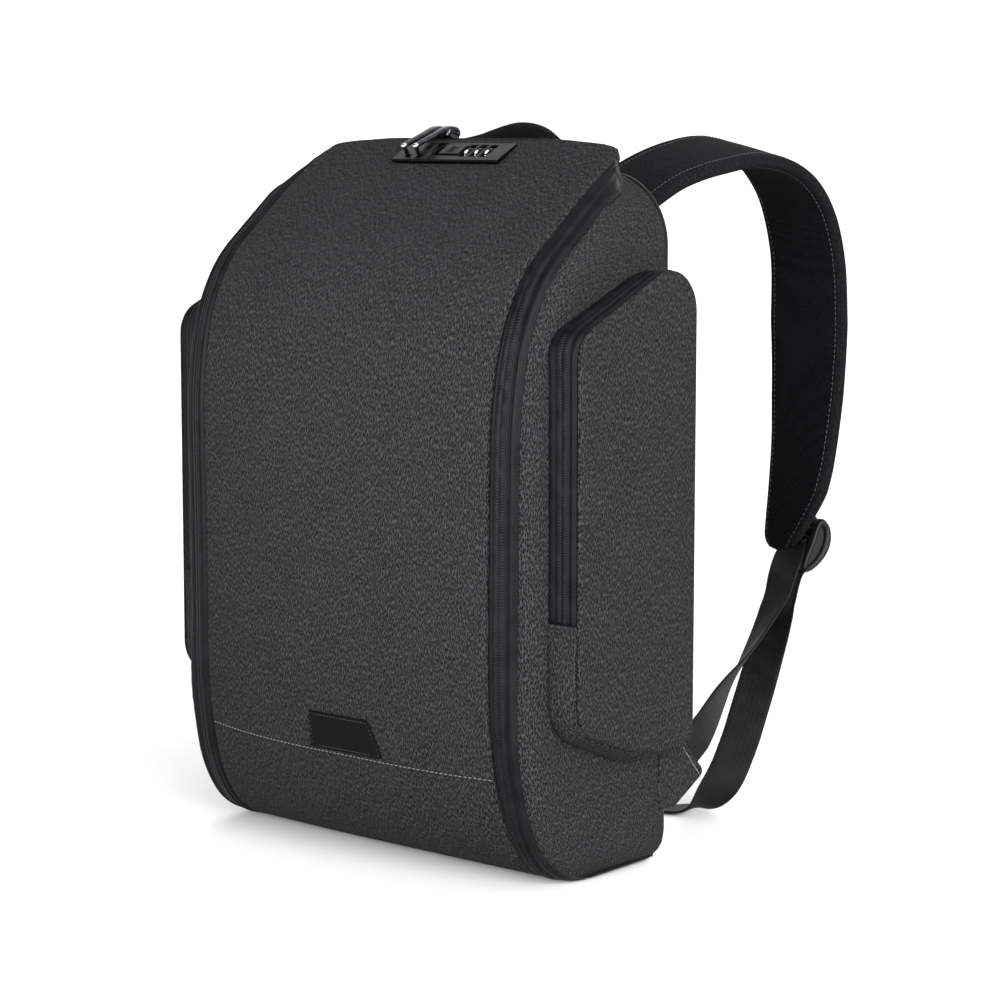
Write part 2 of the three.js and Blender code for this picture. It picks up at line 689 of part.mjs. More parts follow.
// One pocket's sewn edge and face edge, as matching points in order from the start of its zip.
function pocketEdges() {
  return [POCKET_SEWN, POCKET_FACE].map((corners) => {
    const arcs = roundedOutline(corners);
    const [foot, front, rear, heel, sole] = arcs;
    const forward = new THREE.Vector2(-1, 0);
    const stops = POCKET_ZIP_STOPS.map((z) => ({ at: new THREE.Vector2(corners[0].y, z), out: forward }));
    const lifted = { at: new THREE.Vector2(corners[0].y, POCKET_ZIP_STOPS[0] - 2 * GAP), out: forward };
    const zipEnd = rear[0];
    const turned = rear[1].at.clone().sub(rear[0].at).setLength(2 * GAP).add(rear[0].at);
    const restStart = { at: turned, out: rear[0].out };
    return {
      zip: [...stops, ...front, zipEnd],
      rest: [restStart, ...rear.slice(1), ...heel, ...sole, ...foot, lifted],
      ring: [...front, ...rear, ...heel, ...sole, ...foot],
    };
  });
}

// A pocket's standing wall from the bag's side out to the pocket's face.
function pocketWall(part) {
  const [sewn, face] = pocketEdges().map((edges) => edges[part]);
  const edge = POCKET_OUT - POCKET_WALL - GAP;
  const outer = [];
  const inner = [];
  sewn.forEach((spot, i) => {
    const other = face[i];
    const out = spot.out.clone().add(other.out).normalize();
    const place = (depth) => POCKET_DEPTHS.map((share) => {
      const at = spot.at.clone().lerp(other.at, share).addScaledVector(out, -depth);
      const low = sideX(at.x, at.y) + GAP;
      return vector(low + (edge - low) * share, at.x, at.y);
    });
    outer.push(place(0));
    inner.push(place(POCKET_WALL));
  });
  return [outer, inner];
}

// A pocket's face: a plate that swells towards its middle.
function pocketFace() {
  const ring = pocketEdges()[1].ring;
  const middle = new THREE.Vector2(POCKET_MIDDLE.y, POCKET_MIDDLE.z);
  const layer = (x, outline) => ring.map(({ at }) => {
    const p = at.clone().sub(middle).multiplyScalar(outline).add(middle);
    return vector(x, p.x, p.y);
  });
  const inside = layer(POCKET_OUT - POCKET_WALL, 1);
  const rings = POCKET_RINGS.map(({ outline, swell }) => layer(POCKET_OUT + POCKET_CROWN * swell, outline));
  return [inside, ...rings];
}

// A flat band carried along a smooth route: its section is an oblong with its corners cut.
function band(rows, steps) {
  const curve = new THREE.CatmullRomCurve3(rows.map((row) => row.at), false, 'centripetal');
  const rings = [];
  for (let i = 0; i <= steps; i += 1) {
    const place = (i / steps) * (rows.length - 1);
    const before = rows[Math.min(Math.floor(place), rows.length - 2)];
    const after = rows[rows.indexOf(before) + 1];
    const share = place - rows.indexOf(before);
    const mix = (key) => before[key] + (after[key] - before[key]) * share;
    const at = curve.getPoint(i / steps);
    const along = (i === 0 && rows[0].along) || curve.getTangent(i / steps);
    const across = before.across.clone().lerp(after.across, share);
    across.addScaledVector(along, -across.dot(along)).normalize();
    const up = along.clone().cross(across);
    const w = mix('wide') / 2;
    const t = mix('thick') / 2;
    const cut = Math.min(t, w) * mix('cut');
    const eight = [
      [w - cut, -t], [w, -t + cut], [w, t - cut], [w - cut, t],
      [-w + cut, t], [-w, t - cut], [-w, -t + cut], [-w + cut, -t],
    ];
    const section = cut > 0 ? eight : [[w, -t], [w, t], [-w, t], [-w, -t]];
    rings.push(section.map(([a, b]) => at.clone().addScaledVector(across, a).addScaledVector(up, b)));
  }
  return rings;
}

const bandRow = (at, across, wide, thick, cut) => ({ at, across, wide, thick, cut });
const triple = ([x, y, z]) => vector(x, y, z);

function handle() {
  return band(HANDLE_ROUTE.map(({ x, rise, out, across }) => (
    bandRow(vector(x, BACK_FACE + out, rise), triple(across), HANDLE_WIDTH, HANDLE_THICK, PADDED_CUT)
  )), HANDLE_STEPS);
}

// A shoulder strap starts square to the back panel, so its sewn end lies flat against it.
function strap(side) {
  const rows = STRAP_ROUTE.map((row) => bandRow(
    vector(row.x, BACK_FACE + GAP + row.out, row.z - row.arch * STRAP_SAG[side]),
    triple(row.across),
    row.wide,
    STRAP_THICK,
    PADDED_CUT,
  ));
  rows[0].along = vector(0, 1, 0);
  return band(rows, STRAP_STEPS);
}

// The buckle's frame: x across, y down from its top bar, z out behind.
const strapEnd = STRAP_ROUTE[STRAP_ROUTE.length - 1];
const buckleX = triple(strapEnd.across).normalize();
const buckleY = triple(BUCKLE_DOWN).addScaledVector(buckleX, -triple(BUCKLE_DOWN).dot(buckleX)).normalize();
const buckleZ = buckleX.clone().cross(buckleY);
const buckleOrigin = vector(strapEnd.x, BACK_FACE + GAP + strapEnd.out, strapEnd.z)
  .addScaledVector(buckleX, BUCKLE_SHIFT)
  .addScaledVector(buckleY, BUCKLE_DROP);
const buckleFrame = new THREE.Matrix4().makeBasis(buckleX, buckleY, buckleZ).setPosition(buckleOrigin);
const onBuckle = (x, y, z) => vector(x, y, z).applyMatrix4(buckleFrame);

function buckle() {
  const { width, height, thick, corner, side } = BUCKLE;
  const w = width / 2;
  const outline = new THREE.Shape();
  outline.moveTo(-w + corner, 0);
  outline.lineTo(w - corner, 0);
  outline.absarc(w - corner, corner, corner, -Math.PI / 2, 0);
  outline.lineTo(w, height - corner);
  outline.absarc(w - corner, height - corner, corner, 0, Math.PI / 2);
  outline.lineTo(-w + corner, height);
  outline.absarc(-w + corner, height - corner, corner, Math.PI / 2, Math.PI);
  outline.lineTo(-w, corner);
  outline.absarc(-w + corner, corner, corner, Math.PI, 1.5 * Math.PI);
  BUCKLE_BARS.slice(1).forEach((bar, i) => {
    const slot = new THREE.Path();
    const top = BUCKLE_BARS[i].to;
    slot.moveTo(-w + side, top);
    slot.lineTo(-w + side, bar.from);
    slot.lineTo(w - side, bar.from);
    slot.lineTo(w - side, top);
    outline.holes.push(slot);
  });
  const extrusion = { depth: thick, bevelEnabled: false, curveSegments: BUCKLE_ARC_STEPS };
  const frame = new THREE.ExtrudeGeometry(outline, extrusion);
  return frame.translate(0, 0, -thick / 2).applyMatrix4(buckleFrame);
}

// Points half way round a bar of the buckle, from its front to its back.
function roundBar(middle, radius, turned) {
  return WRAP_ANGLES.map((angle) => {
    const a = radians(angle);
    return [middle + turned * radius * Math.cos(a), radius * Math.sin(a)];
  });
}

// The short loop that holds the buckle's top bar to the strap's end.
function strapLoop() {
  const bar = BUCKLE_BARS[0];
  const high = 2 * GAP - BUCKLE_DROP;
  const round = roundBar((bar.from + bar.to) / 2, LOOP_WRAP, 1);
  const route = [[high, -LOOP_WRAP / 2], ...round, [high, LOOP_WRAP / 2]];
  return band(route.map(([y, z]) => (
    bandRow(onBuckle(0, y, z), buckleX.clone(), LOOP_WIDTH, LOOP_THICK, 0)
  )), LOOP_STEPS);
}

// One length of webbing: up from the tab, round the buckle's middle bar and down as a tail.
function webbing() {
  const bar = BUCKLE_BARS[1];
  const middle = (bar.from + bar.to) / 2;
  const past = [bar.to + WEB_LEAVING.down, WEB_WRAP + WEB_LEAVING.out];
  const round = [...roundBar(middle, WEB_WRAP, -1), past];
  const rows = [
    ...WEB_RISE.map(({ at, across }) => [triple(at), triple(across)]),
    ...round.map(([y, z]) => [onBuckle(0, y, z), buckleX.clone()]),
    ...WEB_TAIL.map(({ at, across }) => [triple(at), triple(across)]),
  ];
  return band(rows.map(([at, across]) => bandRow(at, across, WEB_WIDTH, WEB_THICK, 0)), WEB_STEPS);
}

function tab() {
  const inside = BACK_HALF + GAP;
  return [inside, inside + TAB_THICK].map((x) => TAB_CORNERS.map(([y, z]) => vector(x, y, z)));
}

// Lock: a plate on the slope with its body below, windows for the dials, and pockets for the button
// and the zip pulls. The dials turn on one pin.
function lockPlate() {
  const flange = boxSolid(LOCK.width, LOCK.height, LOCK.flange - GAP, [0, 0, (LOCK.flange + GAP) / 2]);
  const deep = LOCK.below + LOCK_JOIN;
  const block = boxSolid(LOCK_BODY.width, LOCK_BODY.height, deep, [0, 0, LOCK_JOIN - deep / 2]);
  let solid = flange.add(block);
  const sink = (x, y, wide, high, depth) => {
    solid = solid.subtract(boxSolid(wide, high, depth, [x, y, LOCK.flange - depth / 2 + CUT_PAST]));
  };
  const room = DIAL.radius + 2 * GAP;
  for (const x of DIAL_PLACES) {
    sink(x, DIAL_UP, DIAL.width + 2 * GAP, 2 * room, LOCK.flange - DIAL.axis + room);
  }
  const first = DIAL_PLACES[0] - DIAL.width;
  const last = DIAL_PLACES[DIAL_PLACES.length - 1] + DIAL.width;
  const pin = new THREE.CylinderGeometry(DIAL.pin, DIAL.pin, last - first, ROUND_SIDES);
  pin.rotateZ(Math.PI / 2).translate((first + last) / 2, DIAL_UP, DIAL.axis);
  solid = solid.add(toSolid(pin));
  const left = BUTTON.middle - BUTTON.width / 2 - BUTTON.travel - GAP;
  const right = BUTTON.middle + BUTTON.width / 2 + GAP;
  sink((left + right) / 2, DIAL_UP, right - left, BUTTON.height + 2 * GAP, BUTTON.deep);
  for (const x of PULL_PLACES) {
    const hollow = PULL.pin + 3 * GAP;
    sink(x, PULL.back, hollow, hollow, LOCK.flange + PULL.sunk + GAP);
  }
  return fromSolid(solid);
}

function lockDial() {
  const rim = new THREE.Shape();
  const points = [];
  for (let i = 0; i < 2 * DIAL.notches; i += 1) {
    const angle = (Math.PI * i) / DIAL.notches;
    const radius = DIAL.radius - (i % 2) * DIAL.notch;
    points.push(new THREE.Vector2(radius * Math.cos(angle), radius * Math.sin(angle)));
  }
  rim.setFromPoints(points);
  const bore = new THREE.Path();
  bore.absarc(0, 0, DIAL.bore, 0, 2 * Math.PI, true);
  rim.holes.push(bore);
  const extrusion = { depth: DIAL.width, bevelEnabled: false, curveSegments: ROUND_SIDES };
  const wheel = new THREE.ExtrudeGeometry(rim, extrusion);
  return wheel.translate(0, 0, -DIAL.width / 2).rotateY(Math.PI / 2);
}

function lockButton() {
  const { width, height, deep, proud } = BUTTON;
  const tall = deep + proud - GAP;
  return new THREE.BoxGeometry(width, height, tall).translate(0, 0, proud - tall / 2);
}

// A zip pull: a flat bar bent over the ridge, with a pin that stands in the lock.
function zipPull(x) {
  const head = vector(x, PULL.back, PULL.rise).applyMatrix4(lockFrame);
  const route = [...PULL_ROUTE.map(({ y, z }) => vector(x, y, z)), head];
  const rows = route.map((at) => bandRow(at, vector(1, 0, 0), PULL.width, PULL.thick, PULL_CUT));
  const bar = toSolid(loft(band(rows, PULL_STEPS)));
  const tall = PULL.rise + PULL.sunk;
  const pin = boxSolid(PULL.pin, PULL.pin, tall, [x, PULL.back, PULL.rise - tall / 2]);
  return fromSolid(bar.add(pin.transform(lockFrame.elements)));
}

function zipSlider(x) {
  const place = profileAt(PANEL_LENGTH + ZIP_WIDTH / 2);
  const frame = new THREE.Matrix4().makeBasis(vector(1, 0, 0), onwardAt(place), outwardAt(place));
  frame.setPosition(x, place.y, place.z);
  const block = new THREE.BoxGeometry(SLIDER.width, SLIDER.length, SLIDER.thick);
  return block.translate(0, 0, SLIDER.thick / 2 + SLIDER.lift).applyMatrix4(frame);
}

// Label patch: a thin sheet that lies on the swollen front.
function labelPatch() {
  const sheet = (raise) => LABEL_ROWS.map((up) => LABEL_COLUMNS.map((share) => {
    const s = LABEL.low + (LABEL.high - LABEL.low) * up;
    const x = LABEL.left + (LABEL.right - LABEL.slant * up - LABEL.left) * share;
    return onPattern(x, s, panelCrown(x / fromTable(PANEL, 'half', s), s) + raise);
  }));
  return wall(sheet(LABEL.thick + 2 * GAP), sheet(2 * GAP));
}

add('front_panel', frontPanel(), 'cloth');
add('main_zip', mainZip(), 'coatedTape');
add('base_panel', basePanel(), 'baseCloth');
add('back_panel', backPanel(), 'strapCloth');
add('front_label', labelPatch(), 'label');
add('top_handle', loft(handle()), 'strapCloth');

for (const side of ['right', 'left']) {
  const turn = side === 'right' ? (p) => p : mirrored;
  const turned = (grid) => grid.map((row) => row.map(turn));
  const sheets = ([outer, inner]) => wall(turned(outer), turned(inner));
  const skin = (rings) => loft(turned(rings));
  add(`side_panel_${side}`, sheets(sidePanel()), 'cloth');
  add(`pocket_zip_${side}`, sheets(pocketWall('zip')), 'coatedTape');
  add(`pocket_wall_${side}`, sheets(pocketWall('rest')), 'cloth');
  add(`pocket_face_${side}`, skin(pocketFace()), 'cloth');
  add(`shoulder_strap_${side}`, skin(strap(side)), 'strapCloth');
  add(`strap_loop_${side}`, skin(strapLoop()), 'strapCloth');
  add(`strap_webbing_${side}`, skin(webbing()), 'webbing');
  add(`strap_tab_${side}`, skin(tab()), 'cloth');
  const frame = buckle();
  if (side === 'left') {
    frame.scale(-1, 1, 1);
    const position = frame.attributes.position;
    for (let i = 0; i < position.count; i += 3) {
      const [x, y, z] = [position.getX(i), position.getY(i), position.getZ(i)];
      position.setXYZ(i, position.getX(i + 1), position.getY(i + 1), position.getZ(i + 1));
      position.setXYZ(i + 1, x, y, z);
    }
  }
  add(`ladder_lock_${side}`, frame, 'bucklePlastic');
}

const lock = new THREE.Group();
lock.applyMatrix4(lockFrame);
pack.add(lock);
add('lock_plate', lockPlate(), 'lockPlastic', lock);
DIAL_PLACES.forEach((x, i) => {
  add(`lock_dial_${i + 1}`, lockDial(), 'lockPlastic', lock).position.set(x, DIAL_UP, DIAL.axis);
});
add('lock_button', lockButton(), 'lockPlastic', lock).position.set(BUTTON.middle, DIAL_UP, LOCK.flange);
PULL_PLACES.forEach((x, i) => {
  add(`zip_pull_${i + 1}`, zipPull(x), 'gunmetal');
  add(`zip_slider_${i + 1}`, zipSlider(x), 'gunmetal');
});

export default pack;
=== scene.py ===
"""Dresses a laptop backpack that stands by itself on a pale studio floor.

Shapes are worked out in millimetres as whole arrays and put into meshes in metres, in the frame of the
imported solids.
"""
import logging
import math
from dataclasses import dataclass, replace
from enum import Enum

import bmesh
import bpy
import numpy as np
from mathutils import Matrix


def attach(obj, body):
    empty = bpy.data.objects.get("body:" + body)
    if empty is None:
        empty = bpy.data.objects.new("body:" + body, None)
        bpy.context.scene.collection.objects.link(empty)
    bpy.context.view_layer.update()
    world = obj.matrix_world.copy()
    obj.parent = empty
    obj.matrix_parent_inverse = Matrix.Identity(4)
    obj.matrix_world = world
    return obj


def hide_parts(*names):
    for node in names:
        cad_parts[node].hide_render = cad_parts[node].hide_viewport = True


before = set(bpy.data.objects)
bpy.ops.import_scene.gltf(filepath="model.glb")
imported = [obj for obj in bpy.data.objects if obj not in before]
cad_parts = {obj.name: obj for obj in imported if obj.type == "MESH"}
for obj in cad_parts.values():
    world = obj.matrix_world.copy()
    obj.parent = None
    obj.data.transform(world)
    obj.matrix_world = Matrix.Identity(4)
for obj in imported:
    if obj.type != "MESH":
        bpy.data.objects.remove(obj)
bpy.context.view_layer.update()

LOG = logging.getLogger("backpack")
Array = np.ndarray
Tree = bpy.types.NodeTree
Node = bpy.types.Node
Socket = bpy.types.NodeSocket
Piece = bpy.types.Object
Numbers = tuple[float, ...]
Pair = tuple[float, float]
Triple = tuple[float, float, float]
Pairs = tuple[Pair, ...]
Triples = tuple[Triple, ...]
MM = 0.001
GAP = 0.3
LEAST_AREA = 0.31
BAG = "bag"


class Side(Enum):
    """The bag's two sides, as the sign of X."""

    RIGHT = 1
    LEFT = -1

    @property
    def word(self) -> str:
        """The side's name as the nodes spell it."""
        return self.name.lower()


class Soft(Enum):
    """What kind of soft piece it is: padded, or a sheet."""

    PADDED = "padded"
    SHEET = "sheet"


def linear(code: str) -> tuple[float, float, float, float]:
    """Turns an sRGB hex colour into linear red, green and blue, with full alpha.

    Args:
        code: The colour, such as "#39393d".

    Returns:
        Four numbers for a colour socket.
    """
    srgb = np.array([int(code[i:i + 2], 16) for i in (1, 3, 5)]) / 255
    rgb = np.where(srgb <= 0.04045, srgb / 12.92, ((srgb + 0.055) / 1.055) ** 2.4)
    return (*rgb.tolist(), 1.0)


def per_mm(size: float) -> float:
    """The scale, for coordinates in metres, that gives one repeat every so many millimetres."""
    return 1 / (size * MM)


def bands(pitch: float) -> float:
    """The Wave texture's scale for a pitch in millimetres: it makes 20 radians of wave in one unit."""
    return 2 * math.pi / 20 / (pitch * MM)


def add(tree: Tree, kind: str, inputs: dict | None = None, ramp: tuple = (), **settings) -> Node:
    """Adds a shader node with its settings and links.

    Args:
        tree: The material's node tree.
        kind: The node's type name, after the word ShaderNode.
        inputs: For each input, by name or number, a socket to link or a value to set.
        ramp: A colour ramp's stops, each a place and a hex colour.
        settings: The node's own fields.

    Returns:
        The new node.
    """
    node = tree.nodes.new("ShaderNode" + kind)
    for key, value in settings.items():
        setattr(node, key, value)
    for key, value in (inputs or {}).items():
        if isinstance(value, Socket):
            tree.links.new(value, node.inputs[key])
        else:
            node.inputs[key].default_value = value
    for stop, (place, code) in zip(node.color_ramp.elements if ramp else (), ramp):
        stop.position = place
        stop.color = linear(code)
    return node


@dataclass(frozen=True)
class Finish:
    """A named surface finish that makes its material once."""

    name: str

    def material(self) -> bpy.types.Material:
        """Gives the finish's material, made at the first call."""
        made = bpy.data.materials.get(self.name)
        if made is None:
            made = bpy.data.materials.new(self.name)
            made.use_nodes = True
            self.fill(made.node_tree, made.node_tree.nodes["Principled BSDF"])
        return made

    def fill(self, tree: Tree, shader: Node) -> None:
        """Adds the finish's nodes and links them to the shader."""
        raise NotImplementedError

    @staticmethod
    def plain(shader: Node, values: dict[str, float]) -> None:
        """Sets the shader's sockets that are the same all over."""
        for name, value in values.items():
            shader.inputs[name].default_value = value

    @staticmethod
    def tint(tree: Tree, shader: Node, pattern: Socket, ramp: tuple) -> None:
        """Colours the shader by a pattern, through stops that are each a place and a hex colour."""
        colour = add(tree, "ValToRGB", {"Fac": pattern}, ramp)
        tree.links.new(colour.outputs["Color"], shader.inputs["Base Color"])

    @staticmethod
    def relief(tree: Tree, shader: Node, height: Socket, depth: float, strength: float) -> None:
        """Bends the shader's normal by a height pattern of a depth in millimetres, and a strength."""
        bent = add(tree, "Bump", {"Height": height, "Distance": depth * MM, "Strength": strength})
        tree.links.new(bent.outputs["Normal"], shader.inputs["Normal"])


@dataclass(frozen=True)
class WovenCloth(Finish):
    """Plain woven melange polyester: matt, with dark and light fibres mixed along the warp and a faint fuzz.

    The real threads are 0.4 mm apart, too fine for the picture, so the weave is drawn about twice as coarse.
    """

    dark: str = "#070708"
    light: str = "#303031"
    warp_mm: float = 0.65
    slub_mm: float = 2.6
    fleck_mm: float = 0.6
    cloud_mm: float = 30
    shares: Numbers = (0.6, 0.35, 0.05)
    stops: Pair = (0.28, 0.64)
    weave_mm: float = 0.9
    wander: float = 1.5
    depth_mm: float = 0.15
    strength: float = 0.1
    rough: float = 0.95
    shine: float = 0.02
    sheen: float = 0.006
    sheen_rough: float = 0.45

    def fill(self, tree: Tree, shader: Node) -> None:
        """Mixes long warp slubs, short flecks and soft clouds, over an over-and-under weave."""
        cloth = add(tree, "TexCoord").outputs["UV"]
        stretch = {"Vector": cloth, "Scale": (per_mm(self.warp_mm), per_mm(self.slub_mm), 1)}
        warp = add(tree, "Mapping", stretch).outputs["Vector"]
        slub = add(tree, "TexVoronoi", {"Vector": warp, "Scale": 1.0}, voronoi_dimensions="2D")
        fleck = add(tree, "TexNoise", {"Vector": cloth, "Scale": per_mm(self.fleck_mm), "Detail": 1.0})
        cloud = add(tree, "TexNoise", {"Vector": cloth, "Scale": per_mm(self.cloud_mm), "Detail": 2.0})
        patterns = slub.outputs["Distance"], fleck.outputs["Fac"], cloud.outputs["Fac"]
        mixed = 0.0
        for pattern, share in zip(patterns, self.shares):
            more = add(tree, "Math", {0: pattern, 1: share, 2: mixed}, operation="MULTIPLY_ADD")
            mixed = more.outputs[0]
        self.tint(tree, shader, mixed, tuple(zip(self.stops, (self.dark, self.light))))
        thread = {"Vector": cloth, "Scale": bands(self.weave_mm), "Distortion": self.wander}
        over = add(tree, "TexWave", thread, bands_direction="X").outputs["Fac"]
        under = add(tree, "TexWave", thread, bands_direction="Y").outputs["Fac"]
        woven = add(tree, "Math", {0: over, 1: under}, operation="MULTIPLY")
        self.relief(tree, shader, woven.outputs[0], self.depth_mm, self.strength)
        self.plain(shader, {"Roughness": self.rough, "Specular IOR Level": self.shine,
                            "Sheen Weight": self.sheen, "Sheen Roughness": self.sheen_rough})


@dataclass(frozen=True)
class Scuffed(Finish):
    """A satin or gloss face on which soft scuffs change colour and roughness a little."""

    dark: str = "#08080a"
    light: str = "#111113"
    scuff_mm: float = 14
    detail: float = 4
    stops: Pair = (0.35, 0.68)
    wear: Pair = (0.35, 0.65)
    smooth: float = 0.38
    dull: float = 0.55
    shine: float = 0.07

    def scuff(self, tree: Tree, shader: Node, place: Socket) -> None:
        """Draws the scuffs as cloudy noise, and sets the shine.

        Args:
            tree: The material's node tree.
            shader: The surface shader.
            place: The coordinates that the noise lies on.
        """
        look = {"Vector": place, "Scale": per_mm(self.scuff_mm), "Detail": self.detail}
        scuff = add(tree, "TexNoise", look).outputs["Fac"]
        self.tint(tree, shader, scuff, tuple(zip(self.stops, (self.dark, self.light))))
        low, high = self.wear
        worn = {"Value": scuff, "From Min": low, "From Max": high, "To Min": self.smooth, "To Max": self.dull}
        tree.links.new(add(tree, "MapRange", worn).outputs["Result"], shader.inputs["Roughness"])
        self.plain(shader, {"Specular IOR Level": self.shine})


@dataclass(frozen=True)
class RibbedTape(Scuffed):
    """Close synthetic tape or cloth, bare or coated: fine ribs across it, satin, with slight scuffs."""

    rib_mm: float = 1.5
    rib_wander: float = 0.6
    cord_mm: float = 2.4
    cord_wander: float = 0.4
    cord_share: float = 0.35
    depth_mm: float = 0.15
    strength: float = 0.5

    def fill(self, tree: Tree, shader: Node) -> None:
        """Crosses ribs with long cords for the relief, under the scuffs."""
        cloth = add(tree, "TexCoord").outputs["UV"]
        self.scuff(tree, shader, cloth)
        rib = {"Vector": cloth, "Scale": bands(self.rib_mm), "Distortion": self.rib_wander}
        cord = {"Vector": cloth, "Scale": bands(self.cord_mm), "Distortion": self.cord_wander}
        ribs = add(tree, "TexWave", rib, bands_direction="Y").outputs["Fac"]
        cords = add(tree, "TexWave", cord, bands_direction="X").outputs["Fac"]
        crossed = add(tree, "Math", {0: cords, 1: self.cord_share, 2: ribs}, operation="MULTIPLY_ADD")
        self.relief(tree, shader, crossed.outputs[0], self.depth_mm, self.strength)


@dataclass(frozen=True)
class SpacerMesh(Finish):
    """Knitted polyester spacer mesh: a springy face of small round eyes, near black and quite matt, with
    painted shade in their middles.
    """

    # The first colour, at each hole's middle, is painted shade down the hole, darker than the knit.
    eye: str = "#020203"
    knit: str = "#111113"
    eye_mm: float = 2.0
    scatter: float = 0.35
    stops: Pair = (0.12, 0.5)
    depth_mm: float = 0.7
    strength: float = 0.7
    rough: float = 0.9
    shine: float = 0.03

    def fill(self, tree: Tree, shader: Node) -> None:
        """Gives each cell of a scattered pattern a round hole, deep in its middle and raised at its rim,
        whose middle is painted darker as painted shade.
        """
        place = add(tree, "TexCoord").outputs["Object"]
        look = {"Vector": place, "Scale": per_mm(self.eye_mm), "Randomness": self.scatter}
        cells = add(tree, "TexVoronoi", look).outputs["Distance"]
        # Cell middles take the darker colour: painted shade down each hole, not a colour of the yarn.
        self.tint(tree, shader, cells, tuple(zip(self.stops, (self.eye, self.knit))))
        self.relief(tree, shader, cells, self.depth_mm, self.strength)
        self.plain(shader, {"Roughness": self.rough, "Specular IOR Level": self.shine})


@dataclass(frozen=True)
class Moulded(Scuffed):
    """An even hard face, such as moulded plastic, paint or plate: a little grain, and scuffs in its gloss."""

    light: str = "#0e0e10"
    scuff_mm: float = 6
    detail: float = 5
    stops: Pair = (0.35, 0.65)
    smooth: float = 0.16
    dull: float = 0.3
    shine: float = 0.5
    grain_mm: float = 0.6
    depth_mm: float = 0.02
    strength: float = 0.4
    metal: float = 0.0

    def fill(self, tree: Tree, shader: Node) -> None:
        """Lays a fine grain under the scuffs."""
        place = add(tree, "TexCoord").outputs["Object"]
        self.scuff(tree, shader, place)
        grain = add(tree, "TexNoise", {"Vector": place, "Scale": per_mm(self.grain_mm), "Detail": 1.0})
        self.relief(tree, shader, grain.outputs["Fac"], self.depth_mm, self.strength)
        self.plain(shader, {"Metallic": self.metal})


@dataclass(frozen=True)
class SpunThread(Finish):
    """Bonded polyester sewing thread: two plies twisted together, satin."""

    dark: str = "#2e2e30"
    light: str = "#69696c"
    twist_mm: float = 0.7
    wander: float = 0.5
    stops: Pair = (0.1, 0.8)
    depth_mm: float = 0.08
    strength: float = 0.5
    rough: float = 0.65

    def fill(self, tree: Tree, shader: Node) -> None:
        """Runs the twist of the plies slantwise across the thread."""
        place = add(tree, "TexCoord").outputs["Object"]
        look = {"Vector": place, "Scale": bands(self.twist_mm), "Distortion": self.wander}
        twist = add(tree, "TexWave", look, bands_direction="DIAGONAL").outputs["Fac"]
        self.tint(tree, shader, twist, tuple(zip(self.stops, (self.dark, self.light))))
        self.relief(tree, shader, twist, self.depth_mm, self.strength)
        self.plain(shader, {"Roughness": self.rough})


HEATHER = WovenCloth("Heather woven polyester")
STRAP_CLOTH = WovenCloth("Dark heather woven polyester", dark="#060607", light="#1b1b1d")
BASE_CLOTH = RibbedTape("Coated oxford cloth", rib_mm=1.1, cord_mm=1.1, depth_mm=0.1, shine=0.08)
ZIP_TAPE = RibbedTape("Polyurethane coated zip tape", rib_mm=2.2, depth_mm=0.05, strength=0.35)
ZIP_COIL = RibbedTape("Nylon zip coil", dark="#08080a", light="#131316", smooth=0.34, dull=0.48)
WEBBING = RibbedTape("Woven nylon webbing", dark="#0b0b0c", light="#141415", rib_mm=1.3, cord_mm=3.2,
                     depth_mm=0.25, strength=0.6, smooth=0.42, dull=0.55, shine=0.06)
LABEL = RibbedTape("Bonded microfibre patch", dark="#070708", light="#0c0c0d", rib_mm=0.9, cord_mm=0.9,
                   depth_mm=0.1, smooth=0.6, dull=0.8, shine=0.04)
MESH = SpacerMesh("Knitted spacer mesh")
LOCK_PLASTIC = Moulded("Gloss moulded ABS", dark="#030304", light="#060607", shine=0.12)
BUCKLE_PLASTIC = Moulded("Satin moulded acetal", dark="#08080a", light="#0e0e10", smooth=0.4, dull=0.5,
                         depth_mm=0.05, shine=0.16)
GUNMETAL = Moulded("Gunmetal plated zinc", dark="#2c2c2f", light="#4a4a4e", smooth=0.18, dull=0.3, metal=1.0)
NICKEL = Moulded("Bright nickel plate", dark="#b9b8b4", light="#dcdbd6", smooth=0.12, dull=0.22, metal=1.0)
WHITE_INK = Moulded("White pad printing ink", dark="#d9d9d6", light="#f2f2f0", smooth=0.4, dull=0.5)
GREY_THREAD = SpunThread("Grey bonded thread")
DARK_THREAD = SpunThread("Dark grey bonded thread", dark="#19191b", light="#39393c")
BLACK_THREAD = SpunThread("Black bonded thread", dark="#0c0c0d", light="#29292c")
PALE_FLOOR = Moulded("Matt white studio paint", dark="#e8e8e8", light="#eaeaea", grain_mm=3, scuff_mm=900,
                     smooth=0.7, dull=0.8)


def unit(vectors: Array) -> Array:
    """Scales each vector along the last axis to length one."""
    return vectors / np.maximum(np.linalg.norm(vectors, axis=-1, keepdims=True), 1e-9)


def hump(distance: Array, reach: float) -> Array:
    """A smooth hill: the exponential of minus the square of distance over reach."""
    return np.exp(-((distance / reach) ** 2))


def stacked(*parts: Array | float) -> Array:
    """Puts coordinates side by side on a new last axis, each spread to their common shape."""
    return np.stack(np.broadcast_arrays(*parts), -1)


def run_along(line: Array) -> Array:
    """The distance along a line of points to each of them."""
    return np.concatenate([[0], np.cumsum(np.linalg.norm(np.diff(line, axis=0), axis=1))])


def between(at: Array, stops: Array, rows: Array) -> Array:
    """Reads rows of numbers in straight lines between their stops."""
    return np.stack([np.interp(at, stops, column) for column in rows.T], -1)


